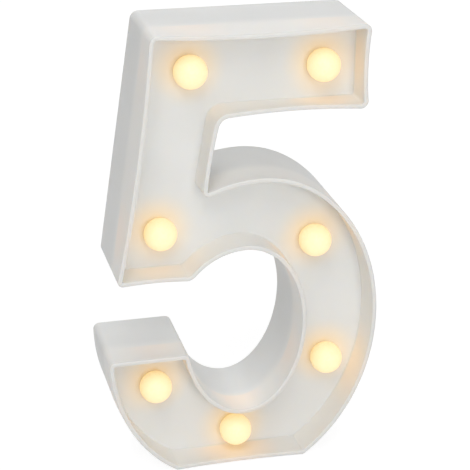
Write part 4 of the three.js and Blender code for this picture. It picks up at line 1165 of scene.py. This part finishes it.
class MARQUEE_OT_front_housing(bpy.types.Operator):
    """The moulded housing: wall, rim, face panel, lamp holes, screw posts and seat ribs."""
    bl_idname = "marquee.front_housing"
    bl_label = "Front housing"

    def execute(self, context):
        settings = context.scene.marquee_housing
        panel_front = FRONT + settings.tray_depth
        panel_back = panel_front + settings.panel_thickness
        housing = lofted("housing_moulding", self.rings(settings))
        weld(housing, together(self.posts(panel_back - ROOT) + self.seat_ribs(panel_back - ROOT)))
        cut(housing, together(self.holes(panel_front - OVERRUN, panel_back + OVERRUN)))
        smooth(housing, degrees=35)
        # The housing's plastic, with painted shade behind the panel and painted glow and warm tint
        # near the lamps
        material = moulded_plastic("moulded_white", tuple(settings.colour),
                                   tuple(settings.shaded_rear_colour), tuple(settings.painted_bleed),
                                   tuple(settings.painted_wall_bleed))
        finish_piece(housing, material, "front_housing")
        return {"FINISHED"}

    def rings(self, settings):
        """Rings from the panel's front, over the rim and round the back, to the panel's back."""
        bow_depth = settings.tray_depth - BOW_END
        panel_back = settings.tray_depth + settings.panel_thickness
        wall, rim_width, fillet = settings.wall, settings.rim_width, settings.fillet

        def ring(deep, inwards):
            share = max(0, (bow_depth - deep) / bow_depth) ** BOW_CURVE
            return at_depth(inset(outline(settings.rim_bow * share), inwards), deep)

        depths = [bow_depth * share for share in BOW_SHARES]
        rim = quarter(settings.rim_round, 4)
        rings = [ring(settings.tray_depth - across, rim_width + deep)
                 for deep, across in quarter(fillet, 4)]
        rings += [ring(deep, rim_width) for deep in depths]
        rings += [ring(deep, rim_width - across) for deep, across in rim]
        rings += [ring(deep, across) for deep, across in reversed(rim)]
        rings += [ring(deep, 0) for deep in reversed(depths)]
        rings += [ring(DEPTH - deep, across) for deep, across in quarter(BACK_ROUND, 3)]
        rings += [ring(DEPTH, wall - BACK_CHAMFER), ring(DEPTH - BACK_CHAMFER, wall)]
        rings += [ring(panel_back + fillet, wall), ring(panel_back, wall + fillet)]
        return rings

    def posts(self, front):
        """A round post with four gussets for each screw of the cover."""
        made = []
        for place in map(box_centre, COVER_SCREWS):
            post = rod("post", place, POST_RADIUS, (front, POST_END))
            for halves in ((GUSSET_REACH, GUSSET_HALF), (GUSSET_HALF, GUSSET_REACH)):
                weld(post, block_at("gusset", place, halves, (front, GUSSET_END)))
            made.append(post)
        return made

    def seat_ribs(self, front):
        """Short ribs along the walls that the cover rests on."""
        runs = outline_runs()
        made = []
        for index, run in enumerate(runs):
            for rib in range(run.ribs):
                place, way = evenly(run, runs[index - 1].corner, 2 * run.ribs)[2 * rib + 1]
                centre = Vector((place.x - RIB_INSET * way.y, place.y + RIB_INSET * way.x))
                piece = block_at("seat_rib", (0, 0), (RIB_HALF, RIB_REACH), (front, RIB_END))
                turn = Matrix.Rotation(-math.atan2(way.y, way.x), 4, "Y")
                middle = Vector((centre.x - WIDTH / 2, 0, centre.y))
                piece.data.transform(Matrix.Translation(middle) @ turn)
                made.append(piece)
        return made

    def holes(self, front, back):
        """Cutters for the lamps' necks and the screws' pilot holes."""
        return ([rod("lamp_hole", place, LAMP_HOLE, (front, back))
                 for place in map(globe_centre, LAMPS)]
                + [rod("pilot", place, SCREW_HOLE, PILOT_ENDS, HOLE_SIDES)
                   for place in map(box_centre, COVER_SCREWS)])


class MARQUEE_OT_globes(bpy.types.Operator):
    """The frosted globes, each with its neck and snap bead."""
    bl_idname = "marquee.globes"
    bl_label = "Globes"

    def execute(self, context):
        settings = context.scene.marquee_globe
        pattern = spun("globe_pattern", self.profile(settings.radius, settings.shell), steps=56)
        smooth(pattern, degrees=40)
        material = frosted_glow("frosted_globe", settings)
        for lamp in LAMPS:
            x, z = globe_centre(lamp)
            piece = copy_to(pattern, f"frosted_globe_{lamp}", (x, FRONT + settings.centre_depth, z))
            finish_piece(piece, material, f"globe_{lamp}")
        bpy.data.objects.remove(pattern)
        return {"FINISHED"}

    def profile(self, radius, shell):
        """The ball from its front pole, the neck, the bead, and the hollow back to the front."""
        inner = radius - shell
        shoulder = math.degrees(math.acos(NECK_START / radius))
        throat = math.degrees(math.asin(NECK_BORE / inner))
        return [*arc((0, 0), (radius, radius), 180, shoulder, 24),
                (NECK, NECK_START), (NECK, BEAD_ENDS[0]),
                *((BEAD, along) for along in BEAD_CREST),
                (NECK, BEAD_ENDS[1]), (NECK, NECK_END), (NECK_BORE, NECK_END),
                *arc((0, 0), (inner, inner), throat, 180, 16)]


class MARQUEE_OT_diodes(bpy.types.Operator):
    """The diodes: domed lens, flange with its flat, and two legs."""
    bl_idname = "marquee.diodes"
    bl_label = "Diodes"

    def execute(self, context):
        low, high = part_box(f"diode_{LAMPS[0]}")
        pattern = self.pattern(high.y - low.y)
        material = clear_lens("diode_lens", high.y - DIODE_LEGS)
        for lamp in LAMPS:
            name = f"diode_{lamp}"
            x, z = globe_centre(lamp)
            turn = self.turn(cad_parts[name].data, x, z, high.y)
            piece = copy_to(pattern, f"domed_{name}", (x, low.y, z), turn)
            finish_piece(piece, material, name)
        bpy.data.objects.remove(pattern)
        return {"FINISHED"}

    def turn(self, mesh, x, z, back):
        """Turn about the depth that brings the X axis to the line through a diode's two legs."""
        ends = [vertex.co for vertex in mesh.vertices if vertex.co.y > back - MM / 10]
        first = ends[0]
        leg = [end for end in ends
               if (end.x - x) * (first.x - x) + (end.z - z) * (first.z - z) > 0]
        across = (min(end.x for end in leg) + max(end.x for end in leg)) / 2 - x
        up = (min(end.z for end in leg) + max(end.z for end in leg)) / 2 - z
        return -math.atan2(up, across)

    def pattern(self, length):
        """A diode with its lens at the origin, facing the front, and its legs side by side."""
        back = length - DIODE_LEGS
        front = back - DIODE_FLANGE_HEIGHT
        edge = DIODE_FLANGE - DIODE_EDGE
        points = [*arc((0, DIODE), (DIODE, -DIODE), 0, 90, 16), (DIODE, front), (edge, front),
                  (DIODE_FLANGE, front + DIODE_EDGE), (DIODE_FLANGE, back - DIODE_EDGE),
                  (edge, back), (0, back)]
        piece = spun("diode_pattern", points, steps=40)
        beyond = 5 * MM
        cut(piece, block("cathode_flat", (DIODE_FLAT, beyond), (front - OVERRUN, back + OVERRUN),
                         (-beyond, beyond)))
        weld(piece, together([block("leg", about(side * LEG_REACH, LEG_HALF),
                                    (back - FIT, length), about(0, LEG_HALF))
                              for side in (-1, 1)]))
        smooth(piece, degrees=35)
        return piece


class MARQUEE_OT_rear_cover(bpy.types.Operator):
    """The rear cover: plate, screw wells, battery bay, switch window, keyholes and lettering."""
    bl_idname = "marquee.rear_cover"
    bl_label = "Rear cover"

    def execute(self, context):
        settings = context.scene.marquee_housing
        cover = self.plate(settings.wall)
        screws = [box_centre(name) for name in COVER_SCREWS]
        cups = [rod("well", place, CUP, (BACK - CUP_DEPTH, MIDDLE)) for place in screws]
        bosses = [rod("boss", place, BOSS, (BACK - BOSS_DEPTH, MIDDLE))
                  for place in beside_switch()]
        weld(cover, self.case(), together(cups + bosses))
        cut(cover, *self.hollows(screws))
        weld(cover, together(self.rails()), self.divider())
        switch_x, switch_z = box_centre("switch_body")
        beside = WINDOW[0] + LETTER_GAP
        for text, x in (("ON", switch_x + beside), ("OFF", switch_x - beside)):
            cut(cover, lettering(text, (x, switch_z), LETTER_SIZE))
        smooth(cover)
        # The cover takes the darker rear colour, painted shade
        rear = tuple(settings.shaded_rear_colour)
        finish_piece(cover, moulded_plastic("moulded_cover", rear, rear), "rear_cover")
        return {"FINISHED"}

    def plate(self, wall):
        """The plate inside the housing's wall, with its back edge rounded off."""
        edge = inset(outline(0), wall)
        steps = ((0, COVER), (0, COVER_EDGE), (0.3 * COVER_EDGE, 0.3 * COVER_EDGE), (COVER_EDGE, 0))
        return lofted("cover_moulding", [at_depth(inset(edge, RUNNING_GAP + inwards), DEPTH - deep)
                                         for inwards, deep in steps])

    def case(self):
        """The battery bay's outside, before it is hollowed."""
        return block("bay", (BAY_LEFT - BAY_WALL, BAY_RIGHT + BAY_WALL),
                     (BAY_FLOOR - BAY_WALL, MIDDLE), (BAY_LOW - BAY_WALL, BAY_HIGH + BAY_WALL),
                     0.3 * MM)

    def hollows(self, screws):
        """Cutters, in the order that they are used."""
        switch = box_centre("switch_body")
        return [
            block("bay_hollow", (BAY_LEFT, BAY_RIGHT), (BAY_FLOOR, OUT), (BAY_LOW, BAY_HIGH)),
            rounded_plate("door_seat", (BAY_LEFT - DOOR_MARGIN, BAY_RIGHT + DOOR_MARGIN),
                          (DOOR_LEDGE, OUT), (BAY_LOW - DOOR_MARGIN, BAY_HIGH + DOOR_MARGIN)),
            together([rod("well_hollow", place, WELL, (BACK - WELL_DEPTH, OUT))
                      for place in screws]),
            together([rod("well_hole", place, SCREW_HOLE, (BACK - WELL_FLOOR, OUT), HOLE_SIDES)
                      for place in screws]),
            rounded_plate("window", about(switch[0], WINDOW[0]), (BACK - WINDOW_DEPTH, OUT),
                          about(switch[1], WINDOW[1])),
            block_at("window_slot", switch, WINDOW_SLOT, (INSIDE - OVERRUN, OUT)),
            together([rod("boss_hole", place, BOSS_HOLE,
                          (INSIDE - BOSS_HOLE_DEPTH, INSIDE + RUNNING_GAP), HOLE_SIDES)
                      for place in beside_switch()]),
            together([block("tongue_slot", about(x, TONGUE_HALF + FIT),
                            (DOOR_LEDGE - TONGUE - FIT, INSIDE),
                            (BAY_HIGH - RUNNING_GAP, TONGUE_SLOT_TOP))
                      for x in TONGUE_PLACES]),
            block("latch_notch", about(BAY_MIDDLE, LATCH_HALF + FIT),
                  (DOOR_LEDGE - LATCH_DEPTH - FIT, DOOR_LEDGE + OVERRUN),
                  (BAY_LOW - DOOR_MARGIN, BAY_LOW + OVERRUN)),
            together([block("contact_slot", (CONTACT_SLOT_LEFT, BAY_LEFT + OVERRUN),
                            (BAY_FLOOR + FIT, BAY_FLOOR + FIT + MM),
                            about(z, TAB_HALF + RUNNING_GAP)) for z in CELL_HEIGHTS]),
            *(cutter for x in self.keyholes() for cutter in self.keyhole(x)),
        ]

    def keyholes(self):
        """The keyholes' places across, an inset from the stem's and the arm's edges."""
        up = (KEYHOLE_HEIGHT - BLOCK_BOTTOM) / (HEIGHT - BLOCK_BOTTOM)
        at_left = BLOCK_LEFT + (STEM_TOP_LEFT - BLOCK_LEFT) * up
        return at_left + KEYHOLE_INSET - WIDTH / 2, ARM_RIGHT - KEYHOLE_INSET - WIDTH / 2

    def keyhole(self, x):
        """Cutters for a round hole with a slot above it."""
        deep = (BACK - KEYHOLE_DEPTH, OUT)
        top = KEYHOLE_HEIGHT + KEYHOLE_RISE
        return [rod("keyhole", (x, KEYHOLE_HEIGHT), KEYHOLE, deep),
                block("keyhole_slot", about(x, KEYHOLE_SLOT), deep, (KEYHOLE_HEIGHT, top)),
                rod("keyhole_end", (x, top), KEYHOLE_SLOT, deep)]

    def rails(self):
        """The rails that hold the contacts."""
        return [block("rail", (left, left + RAIL), (BAY_ROOT, RAIL_BACK), up)
                for up in ((BAY_LOW - RAIL_ROOT, BAY_LOW + RAIL_REACH),
                           about(BAY_HEIGHT, RAIL_HALF),
                           (BAY_HIGH - RAIL_REACH, BAY_HIGH + RAIL_ROOT))
                for left in (BAY_LEFT + MM, BAY_RIGHT - MM - RAIL)]

    def divider(self):
        """The low wall between the two cells."""
        return block("divider", (BAY_LEFT - RAIL_ROOT, BAY_RIGHT - MM - RAIL),
                     (BAY_ROOT, BAY_FLOOR + DIVIDER_RISE), about(BAY_HEIGHT, DIVIDER_HALF))


class MARQUEE_OT_screws(bpy.types.Operator):
    """The cover's screws and the two small screws of the switch."""
    bl_idname = "marquee.screws"
    bl_label = "Screws"

    def execute(self, context):
        material = plated_metal("zinc_screw", ZINC, roughness=0.32, grain_scale=900)
        head = 1.7 * MM
        pattern = self.pattern("cover_screw", head_radius=2.6 * MM, head_height=head,
                               radius=1.1 * MM, length=10 * MM)
        self.place(pattern, material,
                   [(name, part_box(name)[1].y - head) for name in COVER_SCREWS])
        head = 1.3 * MM
        pattern = self.pattern("switch_screw", head_radius=1.6 * MM, head_height=head,
                               radius=0.75 * MM, length=2.4 * MM)
        settled(pattern, turn=(math.pi, 0, 0))
        self.place(pattern, material,
                   [(name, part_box(name)[0].y + head)
                    for name in ("switch_screw_left", "switch_screw_right")])
        return {"FINISHED"}

    def place(self, pattern, material, seats):
        """Copies of a screw at the nodes, each with its seat's depth."""
        for name, seat in seats:
            x, z = box_centre(name)
            finish_piece(copy_to(pattern, f"zinc_{name}", (x, seat, z)), material, name)
        bpy.data.objects.remove(pattern)

    def pattern(self, name, head_radius, head_height, radius, length):
        """A domed head with a cross recess and a threaded shank, with its seat at the origin."""
        points = [(0, head_height)]
        points += arc((0.55 * head_radius, 0.25 * head_height),
                      (0.45 * head_radius, 0.75 * head_height), 0, 90, 8)
        points += [(head_radius, 0), (radius, 0)]
        pitch = 0.45 * radius
        turns = int((length - 2 * radius) / pitch)
        for turn in range(1, turns):
            points += [(0.8 * radius, -pitch * (turn - 0.5)), (radius, -pitch * turn)]
        points += [(0.7 * radius, -pitch * turns), (0, -length)]
        piece = spun(name, points, steps=40)
        wide, narrow = 0.54 * head_radius, 0.135 * head_radius
        for halves in ((wide, narrow), (narrow, wide)):
            cut(piece, block_at("drive_slot", (0, 0), halves,
                                (0.45 * head_height, 2 * head_height)))
        smooth(piece, degrees=35)
        return piece


class MARQUEE_OT_battery_door(bpy.types.Operator):
    """The battery door: plate, tongues, latch, finger grip and arrow."""
    bl_idname = "marquee.battery_door"
    bl_label = "Battery door"

    def execute(self, context):
        door = rounded_plate("door_moulding", (DOOR_LOW.x, DOOR_HIGH.x), (INSIDE, BACK),
                             (DOOR_LOW.z, DOOR_TOP), round_off=DOOR_EDGE)
        weld(door, together(self.hooks()))
        cut(door, rounded_plate("grip", about(BAY_MIDDLE, GRIP_HALF), (BACK - GRIP_DEPTH, OUT),
                                (GRIP_LOW, GRIP_LOW + GRIP_HEIGHT)))
        weld(door, together([
            block("grip_ridge", about(BAY_MIDDLE, GRIP_HALF + 0.1 * MM),
                  (BACK - GRIP_DEPTH - 0.3 * MM, BACK - 0.2 * MM), about(z, RIDGE_HALF), 0.25 * MM)
            for z in rows(GRIP_LOW + 2 * RIDGE_PITCH, RIDGE_PITCH)]))
        cut(door, rod("arrow", (BAY_MIDDLE, GRIP_LOW + ARROW_RISE), ARROW,
                      (BACK - ARROW_DEPTH, OUT), sides=3))
        smooth(door)
        # The door takes the darker rear colour, painted shade
        rear = tuple(context.scene.marquee_housing.shaded_rear_colour)
        finish_piece(door, moulded_plastic("moulded_door", rear, rear), "battery_door",
                     DOOR)
        return {"FINISHED"}

    def hooks(self):
        """Two tongues at the upper edge and the latch at the lower edge."""
        front = DOOR_LEDGE - TONGUE
        root = INSIDE + RUNNING_GAP
        made = []
        for x in TONGUE_PLACES:
            across = about(x, TONGUE_HALF)
            tongue = block("tongue", across, (front, root), (DOOR_TOP - 2 * MM, DOOR_TOP))
            weld(tongue, block("tongue_tip", across, (front, DOOR_LEDGE),
                               (DOOR_TOP - 1.5 * MM, DOOR_TOP + MM), 0.2 * MM))
            made.append(tongue)
        across = about(BAY_MIDDLE, LATCH_HALF)
        low = BAY_LOW + RUNNING_GAP
        deep = DOOR_LEDGE - LATCH_DEPTH
        latch = block("latch", across, (deep, root), (low, low + MM))
        weld(latch, block("latch_nose", across, (deep, deep + MM),
                          (low - 0.5 * MM, low + 0.8 * MM), 0.2 * MM))
        return made + [latch]


class MARQUEE_OT_switch(bpy.types.Operator):
    """The slide switch: can with its plate and pins, and the sliding knob."""
    bl_idname = "marquee.switch"
    bl_label = "Slide switch"

    def execute(self, context):
        self.add_can()
        self.add_slider()
        return {"FINISHED"}

    def add_can(self):
        """The hollow can, its plate with two screw holes, and three pins."""
        x, z = place = box_centre("switch_body")
        low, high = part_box("switch_body")
        plate_front = high.y - SWITCH_PLATE
        can_front = low.y + PIN_HEIGHT
        can = block_at("switch_can", place, CAN, (can_front, plate_front + SWITCH_PLATE / 2),
                       0.35 * MM)
        weld(can, rounded_plate("switch_plate", (low.x, high.x), (plate_front, high.y),
                                about(z, CAN[1])))
        weld(can, together([block_at("pin", (across, z), PIN, (low.y, can_front + 0.5 * MM))
                            for across in rows(x, PIN_PITCH)]))
        cut(can, block_at("chamber", place, CHAMBER, (plate_front - CHAMBER_DEPTH, plate_front)))
        cut(can, block_at("knob_slot", place, KNOB_SLOT,
                          (plate_front - KNOB_SLOT_DEPTH, high.y + OVERRUN)))
        cut(can, together([rod("plate_hole", screw, BOSS_HOLE,
                               (plate_front - OVERRUN, high.y + OVERRUN), HOLE_SIDES)
                           for screw in beside_switch()]))
        smooth(can)
        material = plated_metal("plated_can", PLATED, roughness=0.38, grain_scale=1100)
        finish_piece(can, material, "switch_body")

    def add_slider(self):
        """The foot inside the can, and the grooved knob."""
        x, z = place = box_centre("switch_slider")
        low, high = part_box("switch_slider")
        foot = block("slider_moulding", (low.x, high.x), (low.y, low.y + SLIDER_FOOT),
                     (low.z, high.z), 0.15 * MM)
        weld(foot, block_at("knob", place, KNOB, (low.y + MM, high.y), 0.2 * MM))
        cut(foot, together([block_at("groove", (across, z), GROOVE,
                                     (high.y - GROOVE_DEPTH, high.y + OVERRUN))
                            for across in rows(x, MM)]))
        smooth(foot)
        material = dyed_plastic("black_plastic", DYED_BLACK, roughness=0.42)
        finish_piece(foot, material, "switch_slider", SLIDER)


class MARQUEE_OT_cells(bpy.types.Operator):
    """The two dry cells: wrapped can, crimped shoulder and raised nub."""
    bl_idname = "marquee.cells"
    bl_label = "Dry cells"

    def execute(self, context):
        for name, side in (("dry_cell_low", 1), ("dry_cell_high", -1)):
            low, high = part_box(name)
            base_end, nub_end = (low.x, high.x) if side > 0 else (high.x, low.x)
            length = high.x - low.x
            cell = spun(f"wrapped_{name}", self.profile(length), steps=64)
            settled(cell, (base_end, CELL_DEPTH, (low.z + high.z) / 2),
                    (0, 0, -side * math.pi / 2))
            smooth(cell, degrees=35)
            finish_piece(cell, cell_wrap(f"wrap_{name}", nub_end, side, length), name)
        return {"FINISHED"}

    def profile(self, length):
        """The dished base, the rounded and crimped wrap, the shoulder and the nub."""
        radius = CELL_RADIUS
        shoulder = length - 1.3 * MM
        bend = 0.8 * MM
        crimp = radius - 0.15 * MM
        dish = 0.25 * MM
        ledge = shoulder - 0.4 * MM
        nub = 2.75 * MM
        return [(0, dish), (4.6 * MM, dish), (5 * MM, 0), (6.3 * MM, 0),
                *arc((radius - bend, bend), (bend, -bend), 0, 90, 5)[1:],
                (radius, shoulder - 3.2 * MM), (crimp, shoulder - 2.8 * MM),
                (crimp, shoulder - 2.4 * MM), (radius, shoulder - 2 * MM),
                *arc((radius - bend, shoulder - bend), (bend, bend), 90, 0, 5),
                (5.6 * MM, shoulder), (5.4 * MM, ledge), (3.1 * MM, ledge),
                (nub, shoulder - 0.1 * MM), (nub, length - 0.4 * MM),
                (nub - 0.4 * MM, length), (0, length)]


class MARQUEE_OT_contacts(bpy.types.Operator):
    """The battery contacts: plates, dimples, conical springs and solder tabs."""
    bl_idname = "marquee.contacts"
    bl_label = "Battery contacts"

    def execute(self, context):
        material = plated_metal("nickel_contact", NICKEL, roughness=0.26, grain_scale=1400)
        low, high = CELL_HEIGHTS
        left, right = CONTACT_LEFT, CONTACT_RIGHT
        face = left + CONTACT
        made = {
            "contact_negative": [self.plate(left, low, CONTACT_WIDTH), self.tab(left, low),
                                 self.spring(face, low, 1)],
            "contact_positive": [self.plate(left, high, CONTACT_WIDTH), self.tab(left, high),
                                 self.dimple(face, high, 1)],
            "contact_bridge": [self.plate(right, BAY_HEIGHT, BAY_PITCH + CONTACT_WIDTH),
                               self.dimple(right, low, -1), self.spring(right, high, -1)],
        }
        for name, (piece, *others) in made.items():
            weld(piece, *others)
            piece.name = f"sprung_{name}"
            smooth(piece, degrees=35)
            finish_piece(piece, material, name)
        return {"FINISHED"}

    def plate(self, left, z, wide):
        """A contact's flat plate."""
        front = BAY_FLOOR + RUNNING_GAP
        return block("contact_plate", (left, left + CONTACT), (front, front + CONTACT_DEPTH),
                     about(z, wide / 2), 0.08 * MM)

    def tab(self, left, z):
        """A solder tab that reaches out through the bay's wall."""
        front = BAY_FLOOR + TAB_RISE
        return block("solder_tab", (left - TAB_REACH, left + CONTACT / 2),
                     (front, front + CONTACT), about(z, TAB_HALF))

    def dimple(self, face, z, side):
        """A pressed dome that meets a cell's nub."""
        edge = DIMPLE + DIMPLE_FOOT
        points = [(0, -DIMPLE_FOOT), (edge, -DIMPLE_FOOT), (edge, 0),
                  *arc((0, 0), (DIMPLE, DIMPLE_HEIGHT), 90, 0, 6)]
        return settled(spun("dimple", points, steps=32), (face, CELL_DEPTH, z),
                       (0, 0, -side * math.pi / 2))

    def spring(self, face, z, side):
        """A conical spring: a straight start out of the plate, curls that narrow, a straight end."""
        wire = SPRING_WIRE
        steps = int(24 * SPRING_TURNS)
        climb = SPRING_HEIGHT - 3 * wire
        points = [Vector((0, SPRING_WIDE, 0))]
        for step in range(steps + 1):
            share = step / steps
            radius = SPRING_WIDE + (SPRING_NARROW - SPRING_WIDE) * share
            angle = 2 * math.pi * SPRING_TURNS * share
            points.append(Vector((2 * wire + climb * share, radius * math.cos(angle),
                                  radius * math.sin(angle))))
        way = points[-1] - points[-2]
        way.x = 0
        points.append(points[-1] + way.normalized() * 2 * wire)
        start = Vector((face - side * wire, CELL_DEPTH, z))
        placed = [start + Vector((side * p.x, p.y, side * p.z)) for p in points]
        return lofted("spring", tube_rings(placed, wire, 12))


class MARQUEE_OT_wires(bpy.types.Operator):
    """The lamp strings and leads: round insulated wire, from the solids' routes."""
    bl_idname = "marquee.wires"
    bl_label = "Wires"

    def execute(self, context):
        red = dyed_plastic("red_insulation", DYED_RED, roughness=0.4), "red_wire"
        black = dyed_plastic("black_insulation", DYED_BLACK, roughness=0.4), "black_wire"
        for name, (material, slot) in (("lamp_string_positive", red),
                                       ("lamp_string_negative", black),
                                       ("lead_tab_to_switch", red),
                                       ("lead_switch_to_lamps", red),
                                       ("lead_tab_to_lamps", black)):
            finish_piece(self.rounded_wire(name), material, name)
        return {"FINISHED"}

    def rounded_wire(self, name):
        """A copy of a wire's solid, a little thicker and then rounded, which thins it again."""
        pick(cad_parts[name])
        bpy.ops.object.duplicate(linked=False)
        wire = bpy.context.object
        wire.name = f"round_{name}"
        edit(wire)
        bpy.ops.mesh.remove_doubles(threshold=MERGE)
        bpy.ops.mesh.tris_convert_to_quads()
        bpy.ops.transform.shrink_fatten(value=0.12 * MM)
        leave()
        apply_modifier(wire, "SUBSURF", levels=2, render_levels=2)
        pick(wire)
        bpy.ops.object.shade_smooth()
        return wire


# Panel, registration and the build

OPERATORS = (
    MARQUEE_OT_stage,
    MARQUEE_OT_front_housing,
    MARQUEE_OT_globes,
    MARQUEE_OT_diodes,
    MARQUEE_OT_rear_cover,
    MARQUEE_OT_screws,
    MARQUEE_OT_battery_door,
    MARQUEE_OT_switch,
    MARQUEE_OT_cells,
    MARQUEE_OT_contacts,
    MARQUEE_OT_wires,
)


class MARQUEE_PT_sidebar(bpy.types.Panel):
    """Lists the pieces and their settings."""
    bl_label = "Marquee number"
    bl_space_type = "VIEW_3D"
    bl_region_type = "UI"
    bl_category = "Marquee"

    def draw(self, context):
        for settings in (context.scene.marquee_housing, context.scene.marquee_globe,
                         context.scene.marquee_stage):
            column = self.layout.column()
            for key in settings.bl_rna.properties.keys():
                if key not in ("rna_type", "name"):
                    column.prop(settings, key)
        for operator in OPERATORS:
            self.layout.operator(operator.bl_idname)


CLASSES = (MarqueeHousingSettings, MarqueeGlobeSettings, MarqueeStageSettings,
           *OPERATORS, MARQUEE_PT_sidebar)


def register():
    """Registers the classes and their settings."""
    for one in CLASSES:
        bpy.utils.register_class(one)
    scene = bpy.types.Scene
    scene.marquee_housing = bpy.props.PointerProperty(type=MarqueeHousingSettings)
    scene.marquee_globe = bpy.props.PointerProperty(type=MarqueeGlobeSettings)
    scene.marquee_stage = bpy.props.PointerProperty(type=MarqueeStageSettings)


def unregister():
    """Takes the settings and the classes away again."""
    for name in ("marquee_housing", "marquee_globe", "marquee_stage"):
        delattr(bpy.types.Scene, name)
    for one in reversed(CLASSES):
        bpy.utils.unregister_class(one)


def main():
    """Builds the stage and every piece, in order."""
    register()
    bpy.ops.marquee.stage()
    bpy.ops.marquee.front_housing()
    bpy.ops.marquee.globes()
    bpy.ops.marquee.diodes()
    bpy.ops.marquee.rear_cover()
    bpy.ops.marquee.screws()
    bpy.ops.marquee.battery_door()
    bpy.ops.marquee.switch()
    bpy.ops.marquee.cells()
    bpy.ops.marquee.contacts()
    bpy.ops.marquee.wires()
    deselect_all()


if __name__ == "__main__":
    main()
